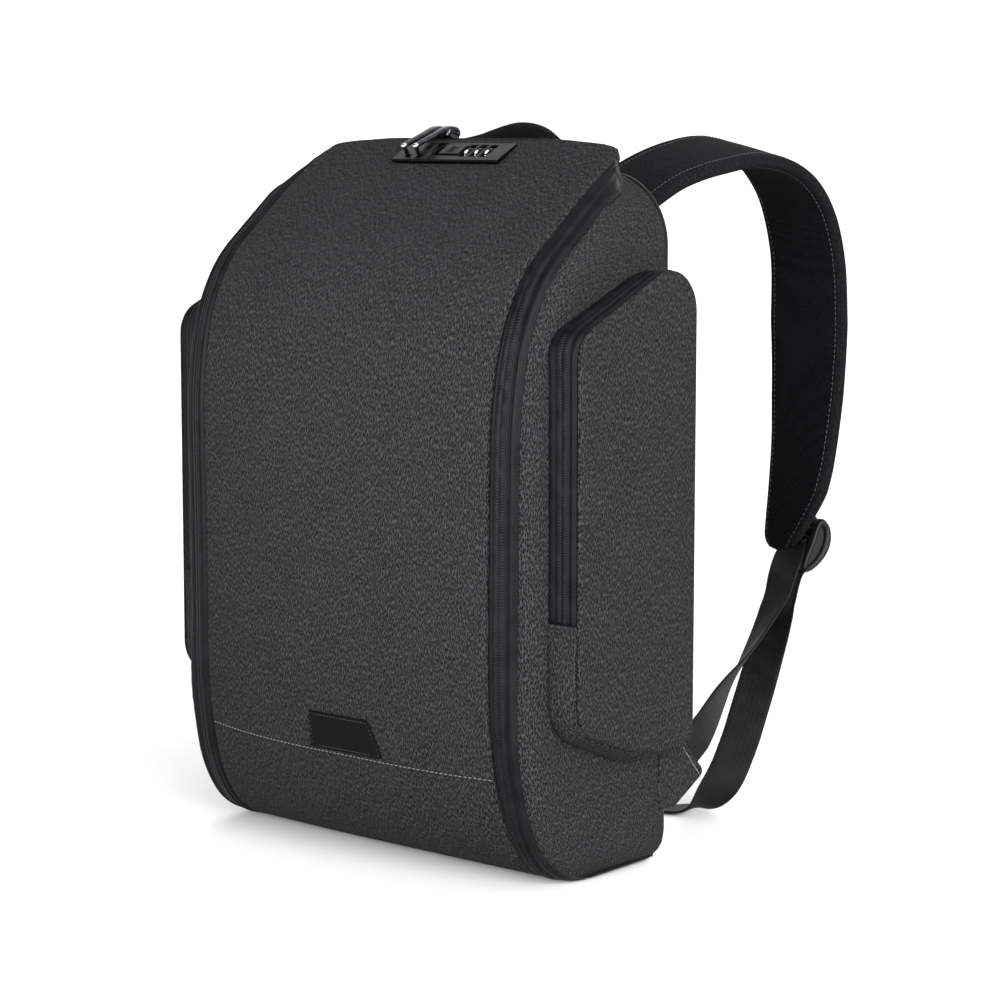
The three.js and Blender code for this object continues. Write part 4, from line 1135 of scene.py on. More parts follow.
@dataclass
class FrontPanel:
    """The swollen front: one padded panel, a topstitched seam low across it, and a bare label patch."""

    wall: float = 5
    inner_share: float = 0.99
    lowest: float = 0.05
    step: float = 3
    columns: int = 100
    crowd: float = 0.65
    low_seam: float = 98.6
    drift: tuple[float, float, float, float] = (3, 10, 110, 1.5)
    seam_rows: Triple = (-6, 4.1, 0.4)
    lock_rows: Numbers = (10.6, 9.7, 9.5, 8.5)
    row_gap: float = 0.35
    corner_rows: int = 18
    stitch_above: float = 1.9
    stitch_half: float = 119
    stitch_lift: float = 0.12
    stitch_places: int = 400
    edge_pucker: Pucker = Pucker(0.16, 9, 6)
    edge_wander: Swell = Swell(2, 60, 3)
    seam_pucker: Pucker = Pucker(0.14, 8, 5)
    seam_wander: Swell = Swell(2, 50, 4)
    seam_groove: Groove = Groove(0.8, 0.8)
    stitch_groove: Groove = Groove(0.35, 0.9)
    lap: Triple = (0.55, 0.35, 14)
    softness: Swell = Swell(0.3, 130, 5)
    calm: float = 12
    lock_sink: float = 14
    lock_reach: Pair = (42.5, 9.6)
    label: Triples = ((-17.5, 102.6, 1.5), (42.5, 102.6, 1.5), (33, 125, 6), (-17.5, 125, 1.5))
    label_flat: Pair = (64, 22)
    label_thick: float = 1.5
    label_fillet: float = 0.7
    label_hem: float = 1.7
    hem_groove: Groove = Groove(0.45, 0.6)
    hem_floor: float = 1
    hem_lift: float = 1.25
    label_stitch: Stitch = Stitch(2.6, 1.8, 0.6, 0.3)

    def lift(self, x: Array, s: Array) -> Array:
        """The panel's height off the profile.

        It is the crown, drawn in along the edges and at the low seam, with small puckers beside each seam,
        gentle unevenness all over, and a well under the lock.

        Args:
            x: Distance across.
            s: Distance along the profile.

        Returns:
            The height at each place.
        """
        half, top = FORM.half(s), FORM.length
        core = half - FORM.corner
        in_corner = (np.abs(x) > core) & (s > top - FORM.corner)
        rise = FORM.corner + FORM.ridge_lap
        away = np.hypot((np.abs(x) - core) / FORM.corner, (s - top + FORM.corner) / rise)
        to_arc = FORM.corner * (1 - away)
        to_side = np.minimum(half - np.abs(x), top + FORM.ridge_lap - s)
        edge = np.maximum(np.where(in_corner, to_arc, to_side), 0)
        pucker = self.edge_pucker.at(s, edge, self.edge_wander.at(x, s))
        cross = s - self.seam_at(x)
        pucker = pucker + self.seam_pucker.at(x, np.abs(cross), self.seam_wander.at(x, s))
        height, sharp, fade = self.lap
        lap = height / (1 + np.exp(-cross / sharp)) * np.exp(-np.maximum(cross, 0) / fade)
        sewn = FORM.seam.at(edge) + self.seam_groove.at(cross) + lap
        sewn = sewn + self.stitch_groove.at(cross - self.stitch_above)
        lock_y = s - (FORM.length - LOCK.setback)
        inside = (np.abs(x) < self.lock_reach[0]) & (np.abs(lock_y) < self.lock_reach[1])
        soft = self.softness.at(x, s) * np.clip(edge / self.calm, 0, 1)
        return FORM.crown(x, s) + sewn + pucker + soft - self.lock_sink * inside

    def seam_at(self, x: Array) -> Array:
        """How far up the low seam lies: it drifts down a little towards the right."""
        fall, start, run, power = self.drift
        return self.low_seam - fall * np.clip((x - start) / run, 0, 1) ** power

    def rows(self) -> tuple[Array, Array]:
        """Half widths and distances of the panel's rows, closer together at its seam and beside the lock."""
        lock, beside = FORM.length - LOCK.setback, np.array(self.lock_rows)
        seam = self.low_seam + np.arange(*self.seam_rows)
        close = np.concatenate([seam, lock - beside, lock + beside[::-1]])
        even = np.arange(GAP / 2, FORM.straight, self.step)
        far = np.abs(even[:, None] - close[None]).min(1) > self.row_gap
        straight = np.sort(np.concatenate([even[far], close[close < FORM.straight]]))
        angle = np.linspace(0, np.pi / 2, self.corner_rows)
        bend_s = FORM.straight + (FORM.corner + FORM.ridge_lap) * np.sin(angle)
        bend_x = FORM.top_half - FORM.corner + FORM.corner * np.cos(angle)
        return np.concatenate([FORM.half(straight), bend_x]) - GAP / 2, np.concatenate([straight, bend_s])

    def on_panel(self, x: Array, s: Array, off: Array | float) -> Array:
        """Points at a height off the panel's face."""
        return FORM.onto(x, s, self.lift(x, s) + off)

    def build(self) -> None:
        """Makes the panel, its stitching and the label."""
        half, s = (values[:, None] for values in self.rows())
        even = np.linspace(-1, 1, self.columns + 1)
        x = ((1 - self.crowd) * even + self.crowd * np.sin(even * np.pi / 2))[None] * half
        lift = self.lift(x, s)
        outer, inner = FORM.onto(x, s, lift), FORM.onto(x * self.inner_share, s, lift - self.wall)
        outer[..., 2] = np.maximum(outer[..., 2], self.lowest)
        panel = wall(outer, inner, stacked(x, s)).piece("front_panel_cloth", HEATHER)
        dress(panel, ("front_panel",), soft=Soft.PADDED)
        x = np.linspace(-self.stitch_half, self.stitch_half, self.stitch_places)
        level = self.seam_at(x) + self.stitch_above
        line = self.on_panel(x, level, self.stitch_lift)
        up = self.on_panel(x, level, 1) - line
        dress(Stitch().row(line, up).piece("front_topstitching", GREY_THREAD))
        self.build_label()

    def build_label(self) -> None:
        """Makes the patch on the swollen front, with a pressed hem and a row of stitches inside its edge."""
        outline, out = rounded(self.label, 8, 16)
        pad = cushion(outline, out, 0.0, self.label_thick, self.label_fillet, rings=12)
        inset = np.linalg.norm(pad[..., :2] - outline[None], axis=-1)
        pad[..., 2] += self.hem_groove.at(inset - self.label_hem) * (pad[..., 2] > self.hem_floor)
        points = self.on_panel(pad[..., 0], pad[..., 1], pad[..., 2])
        patch = loft(points, pad[..., :2]).piece("label_patch", LABEL)
        dress(patch, ("front_label",), soft=Soft.SHEET, flat=self.label_flat)
        x, s = (np.vstack([outline, outline[:1]]) - np.vstack([out, out[:1]]) * self.label_hem).T
        line, over = (self.on_panel(x, s, self.hem_lift + off) for off in (0, 1))
        sewn = self.label_stitch.row(line, over - line).piece("label_stitching", BLACK_THREAD)
        dress(sewn)


@dataclass
class MainZip:
    """The long zip round the front: coated tape with a bead along its outer seam, and a ribbed coil."""

    step: float = 4
    fine: float = 1.2
    columns: int = 46
    sewn_in: float = 5
    outer_seam: Groove = Groove(1.3, 1.0)
    fold_at: Pair = (0.7, 0.9)
    inner_fold: Groove = Groove(0.3, 0.6)
    outer_fold: Groove = Groove(0.45, 0.6)
    coil: Pair = (4.4, 11.4)
    coil_pitch: float = 1.7
    coil_columns: int = 11
    coil_rim: float = 0.7
    coil_sink: float = 0.3
    coil_ends: float = 2
    ribs: Ribs = Ribs(0.35, 0.35, Groove(0.5, 0.35))
    bead_at: float = 16.3
    bead_reach: float = 1.7
    bead: float = 1.25
    thick: float = 2

    def face(self, w: Array) -> Array:
        """The tape's own relief across it: drawn in at both seams, folds beside the coil, and the bead."""
        inner, outer = self.fold_at
        sewn = FORM.seam.at(w) + self.outer_seam.at(FORM.zip_width - w)
        fold = self.outer_fold.at(w - self.coil[1] - outer) + self.inner_fold.at(w - self.coil[0] + inner)
        return sewn + fold + self.bead * np.exp(-(((w - self.bead_at) / self.bead_reach) ** 4))

    def build(self) -> None:
        """Makes the tape and the coil."""
        half = FORM.places(self.step, self.fine)
        t = np.concatenate([half, FORM.edge_length - half[-2::-1]])[:, None]
        w = np.linspace(GAP / 2, FORM.zip_width - GAP / 2, self.columns)[None]
        outer, inner = (FORM.tape(t, w, self.face(w) - sink) for sink in (0, self.thick))
        tape = wall(outer, inner, stacked(w, t)).piece("main_zip_tape", ZIP_TAPE)
        dress(tape, ("main_zip",), soft=Soft.SHEET,
              flat=(FORM.zip_width + self.sewn_in, FORM.edge_length))
        dress(self.coil_strip().piece("main_zip_coil", ZIP_COIL))

    def coil_strip(self) -> Surface:
        """The coil under the tape's face, ribbed on both sides of its groove."""
        t = np.arange(self.coil_ends, FORM.edge_length - self.coil_ends, self.coil_pitch / 4)[:, None]
        w = np.linspace(*self.coil, self.coil_columns)[None]
        rim = np.clip(np.minimum(w - self.coil[0], self.coil[1] - w) / self.coil_rim, 0, 1)
        height = self.ribs.at(t / self.coil_pitch, w - sum(self.coil) / 2, rim)
        outer, inner = (FORM.tape(t, w, self.face(w) + lift) for lift in (height, -self.coil_sink))
        return wall(outer, inner, stacked(w, t))


@dataclass
class BagSides:
    """The two gussets and the base under them, with piping along the base's side seams."""

    thick: float = 3
    gusset_flat: Pair = (150, 545)
    base_flat: Pair = (294, 68)
    step: float = 4
    columns: int = 64
    crowd: float = 1.6
    rounding: float = 7
    foot_ease: float = 8
    level_top: float = 360
    tip: float = 68
    tip_share: float = 0.93
    tip_gap: float = 0.5
    seam_angle: float = 34
    roll: float = 3.2
    roll_reach: float = 8
    roll_share: float = 0.4
    roll_low: Pair = (60, 0.25)
    calm: Pair = (12, 30)
    zip_groove: Groove = Groove(1.3, 1.3)
    foot_groove: Groove = Groove(0.8, 2.0)
    pucker: Pucker = Pucker(0.15, 10, 6)
    softness: Swell = Swell(0.35, 110, 11)
    soft_edge: float = 15
    hub: Triple = (22, 60, 370)
    seam_places: int = 600
    piping: float = 0.9
    piping_knots: int = 24
    piping_steps: int = 60
    piping_end: float = 0.97
    piping_shift: Triple = (0.35, 0, -0.25)
    piping_out: Triple = (0.77, 0.0, -0.64)
    piping_taper: float = 5
    base_rows: int = 30
    base_columns: int = 91

    @property
    def base_rise(self) -> float:
        """The height of the seam between side and base at the back."""
        return FORM.foot_radius * (1 - math.cos(math.radians(self.seam_angle)))

    def front_seam(self) -> tuple[Array, Array]:
        """Points of the zip's outer seam up one side and round to its tip, with distances along it."""
        tip = FORM.straight + (FORM.corner + FORM.zip_width / 2) * math.radians(self.tip)
        t = FORM.places(self.step, self.step / 3)
        t = np.concatenate([t[t < tip - self.tip_gap], [tip]])
        return FORM.tape(t, np.full_like(t, FORM.zip_width + GAP / 2), np.zeros_like(t)), t

    def rear_seam(self, seam: Array) -> Array:
        """Points of the back's outline that the side is drawn to.

        They are level with the front seam up to a height, and above it share the rest of the outline evenly:
        up the straight, then round the top corner.

        Args:
            seam: Points of the front seam.

        Returns:
            One point for each of them.
        """
        run = run_along(seam)
        rising = run < FORM.length - FORM.corner_zone
        first = float(np.interp(self.level_top, seam[rising, 2], run[rising]))
        share = np.clip((run - first) / (run[-1] - first), 0, 1) * self.tip_share
        corner_z = FORM.shoulder - FORM.top_radius
        straight = corner_z - self.level_top
        along = share * (straight + FORM.top_radius * math.pi / 2)
        z = np.where(share > 0, self.level_top + along, np.clip(seam[:, 2], self.base_rise, self.level_top))
        foot = np.arccos(np.clip(1 - z / FORM.foot_radius, -1, 1))
        low = FORM.back_half - FORM.foot_radius * (1 - np.sin(foot))
        x = np.where(z < FORM.foot_radius, low, FORM.back_half)
        angle = np.maximum(along - straight, 0) / FORM.top_radius
        x = np.where(angle > 0, FORM.back_half - FORM.top_radius * (1 - np.cos(angle)), x)
        z = np.where(angle > 0, corner_z + FORM.top_radius * np.sin(angle), z)
        return stacked(x, FORM.back_y - GAP, z)

    def swing(self, d: Array, depth: Array) -> Array:
        """How far the side has swung out, at a distance back from the zip: an exponential rounding."""
        return (1 - np.exp(-d / self.rounding)) / (1 - np.exp(-depth / self.rounding))

    def x_at(self, y: Array, z: Array) -> Array:
        """The side's distance from the bag's middle at places on it."""
        t = np.linspace(GAP / 2, FORM.length - FORM.corner_zone, self.seam_places)
        seam = FORM.tape(t, np.full_like(t, FORM.zip_width), np.zeros_like(t))
        at = [np.interp(z, seam[:, 2], seam[:, k]) for k in (0, 1)]
        return at[0] + (FORM.back_half - at[0]) * self.swing(np.maximum(y - at[1], 0), FORM.back_y - at[1])

    def build(self, side: Side) -> None:
        """Makes one gusset."""
        seam, t = self.front_seam()
        rear, t = self.rear_seam(seam), t[:, None]
        depth = np.linalg.norm(rear - seam, axis=1)[:, None]
        even = np.linspace(0, 1, self.columns + 1)
        share = (even ** self.crowd * (1 - even) + even * (1 - (1 - even) ** self.crowd))[None]
        d = share * depth
        points = seam[:, None] + (rear - seam)[:, None] * share[..., None]
        swung = share + (self.swing(d, depth) - share) * np.clip(t / self.foot_ease, 0, 1)
        points[..., 0] = seam[:, None, 0] + (rear - seam)[:, None, 0] * swung
        normal = grid_normals(points)
        normal = normal * np.sign(normal[..., :1].mean() + 1e-9)
        turned = np.clip(1 - (depth - d) / np.minimum(self.roll_reach, self.roll_share * depth), 0, 1)
        roll = self.roll * np.clip(points[..., 2] / self.roll_low[0], self.roll_low[1], 1)
        calm = np.clip((FORM.straight - self.calm[0] - t) / self.calm[1], 0, 1)
        drawn = self.zip_groove.at(d) * calm - roll * (1 - np.sqrt(1 - turned ** 2)) + self.foot_groove.at(t)
        pucker = calm * self.pucker.at(t, d) + self.pucker.at(t, depth - d)
        soft = self.softness.at(d, t) * np.clip(np.minimum(d, depth - d) / self.soft_edge, 0, 1)
        outer = points + normal * (drawn + pucker + soft)[..., None]
        hub = stacked(0.0, self.hub[0], np.clip(outer[..., 2], *self.hub[1:]))
        shell = wall(outer, outer + unit(hub - outer) * self.thick, stacked(d, t)).on(side)
        made = shell.piece(f"side_gusset_{side.word}", HEATHER)
        dress(made, (f"side_panel_{side.word}",), soft=Soft.SHEET, flat=self.gusset_flat)
        self.build_piping(side)

    def base_edge(self, share: Array) -> Array:
        """The seam between the base and one side, from the zip to the back."""
        front_x, front_z = FORM.foot_half + FORM.zip_width, FORM.drops[0][1]
        rear_x = FORM.back_half - FORM.foot_radius * (1 - math.sin(math.radians(self.seam_angle)))
        x = front_x + (rear_x - front_x) * share
        y = FORM.start[0] + GAP + (FORM.back_y - GAP - FORM.start[0]) * share
        return stacked(x, y, front_z + (self.base_rise - front_z) * share)

    def build_piping(self, side: Side) -> None:
        """Makes the piping along the base seam: a round cord in its own strip of cloth, with thin ends."""
        count = self.piping_knots
        line = self.base_edge(np.linspace(0, self.piping_end, count)) + np.array(self.piping_shift)
        out = np.tile(self.piping_out, (count, 1))
        route = Route.of(line, out, np.full(count, 2 * self.piping), self.piping_steps)
        to_end = np.minimum(route.run, route.run[-1] - route.run)
        slim = 2 * self.piping * np.sqrt(np.clip(to_end / self.piping_taper, 0.01, 1))
        cord = replace(route, wide=slim).band(slim, flats=2, arc=10).on(side)
        dress(cord.piece(f"base_piping_{side.word}", BASE_CLOTH))

    def build_base(self) -> None:
        """Makes the base: flat on the floor, rising at its sides by a power of the place across."""
        share = np.linspace(0, 1, self.base_rows)[:, None]
        u = np.linspace(-1, 1, self.base_columns)[None]
        half, y, rise = np.split(self.base_edge(share[:, 0]), 3, axis=1)
        flat = (FORM.foot_half * (1 - share) + (FORM.back_half - FORM.foot_radius) * share) / half
        over = np.clip((np.abs(u) - flat) / (1 - flat), 0, 1)
        outer = stacked(u * half, y, rise * over ** FORM.drop_power)
        lean = np.radians(self.seam_angle) * over * np.sign(u)
        inner = outer + self.thick * stacked(-np.sin(lean), 0.0, np.cos(lean))
        made = wall(outer, inner, outer[..., :2]).piece("base_cloth", BASE_CLOTH)
        dress(made, ("base_panel",), soft=Soft.SHEET, flat=self.base_flat)


SIDES = BagSides()


@dataclass
class BackPanel:
    """The padded back: a cloth board, and on it one spacer mesh pad that a cloth simulation blows up."""

    foot: float = 0.5
    flat_top: float = 62
    arch: float = 150
    shoulder_fall: float = 4
    board_inset: float = 3
    board: Triple = (-1.0, 5.5, 4.0)
    inset: float = 7
    pad: tuple[float, float, float, float] = (3.0, 7.6, 2.0, 0.6)
    stitch_inset: float = 16
    stitch_lift: float = 0.35
    stitch: Stitch = Stitch(4.2, 3.0, 0.8, 0.5)
    voxel: float = 5
    seated: float = 5.5
    sewn_at: float = 14
    sewn_reach: float = 2.5
    pressure: float = 4
    frames: int = 20
    cap: float = 4

    def corners(self, inset: float) -> Triples:
        """The panel's outline in X and Z, drawn in by an inset."""
        _, _, sunk = FORM.sink[-1]
        half, low, high = FORM.back_half - inset, self.foot + inset, FORM.back_top - sunk - inset
        foot, top = FORM.foot_radius - inset, FORM.top_radius - inset
        side = FORM.shoulder - self.shoulder_fall - inset
        return ((-half, low, foot), (half, low, foot), (half, side, top), (self.flat_top, high, self.arch),
                (-self.flat_top, high, self.arch), (-half, side, top))

    @staticmethod
    def upright(pad: Array) -> Surface:
        """A pad's skin, stood up against the back."""
        return loft(pad[..., [0, 2, 1]] + np.array([0, FORM.back_y, 0]), pad[..., :2])

    def build(self) -> None:
        """Makes the board, the blown pad and the stitching round it."""
        outline, out = rounded(self.corners(self.board_inset), 16, 40)
        made = self.upright(cushion(outline, out, *self.board, rings=3)).piece("back_board_cloth", BASE_CLOTH)
        dress(made, ("back_panel",), soft=Soft.PADDED)
        outline, out = rounded(self.corners(self.inset), 12, 30)
        made = self.upright(cushion(outline, out, *self.pad)).piece("back_pad_mesh", MESH)
        self.blow(made)
        dress(made, soft=Soft.PADDED)
        line, _ = rounded(self.corners(self.stitch_inset), 12, 60)
        x, z = np.vstack([line, line[:1]]).T
        at = stacked(x, FORM.back_face + self.stitch_lift, z)
        sewn = self.stitch.row(at, np.tile([0.0, 1.0, 0.0], (len(at), 1)))
        dress(sewn.piece("back_pad_stitching", BLACK_THREAD))

    def blow(self, pad: Piece) -> None:
        """Swells the pad: remeshed, then cloth under pressure with its sewn edge pinned, each move capped.

        Args:
            pad: The pad, whose mesh is replaced.
        """
        scene = bpy.context.scene
        remesh = pad.modifiers.new("Remesh", "REMESH")
        remesh.mode = "VOXEL"
        remesh.voxel_size = self.voxel * MM
        self.settle(pad)
        start = self.coordinates(pad.data)
        distance = start[:, 1] - FORM.back_y * MM
        edge = np.minimum(FORM.back_half * MM - np.abs(start[:, 0]),
                          np.minimum(start[:, 2], FORM.back_top * MM - start[:, 2]))
        sewn = pad.vertex_groups.new(name="Sewn")
        at_seam = np.abs(edge - self.sewn_at * MM) < self.sewn_reach * MM
        pinned = np.nonzero((distance < self.seated * MM) | at_seam)[0]
        sewn.add(pinned.tolist(), 1.0, "REPLACE")
        cloth = pad.modifiers.new("Cloth", "CLOTH")
        cloth.settings.vertex_group_mass = sewn.name
        cloth.settings.use_pressure = True
        cloth.settings.uniform_pressure_force = self.pressure
        cloth.settings.effector_weights.gravity = 0
        cloth.point_cache.frame_end = self.frames
        for number in range(1, self.frames + 1):
            scene.frame_set(number)
        self.settle(pad)
        scene.frame_set(1)
        move = self.coordinates(pad.data) - start
        far = np.linalg.norm(move, axis=1, keepdims=True)
        capped = start + move * np.minimum(1, self.cap * MM / np.maximum(far, 1e-9))
        pad.data.vertices.foreach_set("co", capped.astype(np.float32).ravel())
        pad.data.shade_smooth()
        smooth = pad.modifiers.new("Smooth", "SUBSURF")
        smooth.levels = smooth.render_levels = 1

    @staticmethod
    def coordinates(mesh: bpy.types.Mesh) -> Array:
        """A mesh's points as an array."""
        flat = np.empty(len(mesh.vertices) * 3, np.float32)
        mesh.vertices.foreach_get("co", flat)
        return flat.reshape(-1, 3).astype(float)

    @staticmethod
    def settle(made: Piece) -> None:
        """Puts what the modifiers make into the mesh, and takes them off."""
        graph = bpy.context.evaluated_depsgraph_get()
        mesh = bpy.data.meshes.new_from_object(made.evaluated_get(graph))
        made.modifiers.clear()
        made.data = mesh


@dataclass
class SidePocket:
    """A raised pocket: a standing wall, coated zip up its front and over its top, and a padded face."""

    sewn: Triples = ((-56.2, 97, 28), (-56.2, 331, 20), (56, 379.5, 30), (56, 72, 10), (14, 66.5, 90))
    face: Triples = ((-52.4, 98, 24), (-52.4, 329, 20.2), (55.5, 379.5, 25), (54.8, 76, 9), (8, 78, 120))
    out: float = 171.3
    thick: float = 2.5
    sunk: float = 0.4
    depth: float = 16
    fillet: float = 2.8
    crown: float = 2.5
    arc: int = 14
    run: int = 60
    sewn_groove: Groove = Groove(1.2, 1.2)
    zip_foot: float = 162
    zip_turn: int = 9
    zip_flat: Pair = (19, 330)
    zip_columns: int = 24
    zip_groove: Groove = Groove(1.3, 1.1)
    zip_fold: Groove = Groove(0.35, 0.5)
    fold_beside: float = 0.05
    bead: Groove = Groove(-0.9, 1.1)
    bead_at: float = 0.87
    coil: Pair = (0.3, 0.68)
    coil_columns: int = 30
    coil_pitch: float = 1.6
    coil_ends: Pair = (1.5, 1)
    coil_rim: float = 5
    coil_sink: float = 0.4
    ribs: Ribs = Ribs(0.3, 0.35, Groove(0.45, 0.12))
    wall_flat: Pair = (20, 580)
    wall_columns: int = 20
    wall_groove: Groove = Groove(1.4, 1.1)
    bulge: float = 1.6
    bulge_rows: float = 6
    hem: Triple = (0.5, 3, 2.5)
    softness: Swell = Swell(0.25, 90, 21)
    soft_edge: float = 15
    face_groove: Groove = Groove(0.5, 0.8)
    groove_in: float = 4.4
    groove_below: float = 0.5

    def edges(self, corners: Triples) -> tuple[Array, Array, int, int]:
        """Rounds one of the pocket's outlines.

        Args:
            corners: The outline's corners.

        Returns:
            Its points, the outward directions, and the numbers of the points at the zip's foot and end.
        """
        outline, away = rounded(corners, self.arc, self.run)
        count = self.arc + self.run
        front = np.arange(self.arc + 1, count)
        start = int(front[np.argmin(np.abs(outline[front, 1] - self.zip_foot))])
        return outline, away, start, 2 * count + self.zip_turn

    def strip(self, low: int, high: int, columns: int) -> tuple[Array, Array, Array]:
        """The standing wall between two numbers of the outline, from the bag's side out to the face.

        Points run in a straight line from the sewn outline to the face's, and out from the side's surface to
        the face's edge.

        Args:
            low: First number.
            high: Last number.
            columns: Steps from the side to the face.

        Returns:
            The points, the outward directions, and places on the cloth.
        """
        (sewn, sewn_out, *_), (face, face_out, *_) = self.edges(self.sewn), self.edges(self.face)
        pick = np.arange(low, high + 1) % len(sewn)
        share = np.linspace(0, 1, columns + 1)[None, :, None]
        at = sewn[pick][:, None] * (1 - share) + face[pick][:, None] * share
        away = unit(sewn_out[pick] + face_out[pick])
        edge = self.out - self.thick - GAP
        foot = SIDES.x_at(at[..., 0], at[..., 1]) - self.sunk
        x = foot + (edge - foot) * share[..., 0]
        points = np.concatenate([x[..., None], at], -1)
        normal = np.broadcast_to(stacked(0.0, *away.T)[:, None], points.shape)
        cloth = stacked(share[..., 0] * (edge - FORM.back_half), run_along(face[pick])[:, None])
        return points, normal, cloth

    def build(self, side: Side) -> None:
        """Makes one pocket's zip, wall and face."""
        outline, _, start, end = self.edges(self.sewn)
        points, normal, cloth = self.strip(start, end, self.zip_columns)
        share = np.linspace(0, 1, self.zip_columns + 1)[None]
        drawn = self.sewn_groove.at(share * self.depth) + self.zip_groove.at((1 - share) * self.depth)
        drawn = drawn + self.zip_fold.at((share - self.coil[1] - self.fold_beside) * self.depth)
        drawn = drawn + self.bead.at((share - self.bead_at) * self.depth)
        outer = points + normal * drawn[..., None]
        tape = wall(outer, outer - normal * self.thick, cloth).on(side)
        made = tape.piece(f"pocket_zip_tape_{side.word}", ZIP_TAPE)
        dress(made, (f"pocket_zip_{side.word}",), soft=Soft.SHEET, flat=self.zip_flat)
        coil = self.coil_strip(start, end).on(side).piece(f"pocket_zip_coil_{side.word}", ZIP_COIL)
        dress(coil)
        points, normal, cloth = self.strip(end, start + len(outline), self.wall_columns)
        share = np.linspace(0, 1, self.wall_columns + 1)[None]
        drawn = self.sewn_groove.at(share * self.depth) + self.wall_groove.at((1 - share) * self.depth)
        rows = np.arange(len(points))
        last = np.minimum(rows, rows[::-1])[:, None]
        height, middle, reach = self.hem
        bulge = (self.bulge * np.sin(np.pi * share) + drawn) * np.clip(last / self.bulge_rows, 0, 1)
        outer = points + normal * (bulge + height * hump(last - middle, reach))[..., None]
        cloth_wall = wall(outer, outer - normal * self.thick, cloth).on(side)
        made = cloth_wall.piece(f"pocket_wall_cloth_{side.word}", HEATHER)
        dress(made, (f"pocket_wall_{side.word}",), soft=Soft.SHEET, flat=self.wall_flat)
        self.build_face(side)

    def coil_strip(self, start: int, end: int) -> Surface:
        """The coil down the middle of the pocket's zip.

        Args:
            start: The number of the outline's point at the zip's foot.
            end: The number at its end.

        Returns:
            The coil, as on the right side.
        """
        points, normal, cloth = self.strip(start, end, self.coil_columns)
        run = cloth[:, 0, 1]
        at = np.arange(self.coil_ends[0], run[-1] - self.coil_ends[1], self.coil_pitch / 4)
        low, high = (int(round(share * self.coil_columns)) for share in self.coil)
        pick = slice(low, high + 1)
        fine = between(at, run, points[:, pick].reshape(len(points), -1)).reshape(len(at), -1, 3)
        up = between(at, run, normal[:, 0])[:, None]
        place = np.linspace(-1, 1, fine.shape[1])[None]
        rim = np.clip((1 - np.abs(place)) * self.coil_rim, 0, 1)
        height = self.ribs.at(at[:, None] / self.coil_pitch, place, rim)
        spots = stacked(cloth[0, pick, 0][None], at[:, None])
        return wall(fine + up * height[..., None], fine - up * self.coil_sink, spots)

    def build_face(self, side: Side) -> None:
        """Makes the pocket's face: a padded plate with a rolled edge that swells towards its middle."""
        outline, away, *_ = self.edges(self.face)
        pad = cushion(outline, away, self.out - self.thick, self.out, self.fillet, self.crown, rings=26)
        inset = np.linalg.norm(pad[..., :2] - outline[None], axis=-1)
        soft = self.softness.at(pad[..., 0], pad[..., 1]) * np.clip(inset / self.soft_edge, 0, 1)
        groove = self.face_groove.at(inset - self.groove_in) * (pad[..., 2] > self.out - self.groove_below)
        points = stacked(pad[..., 2] + soft + groove, pad[..., 0], pad[..., 1])
        made = loft(points, pad[..., :2]).on(side).piece(f"pocket_face_cloth_{side.word}", HEATHER)
        dress(made, (f"pocket_face_{side.word}",), soft=Soft.PADDED)


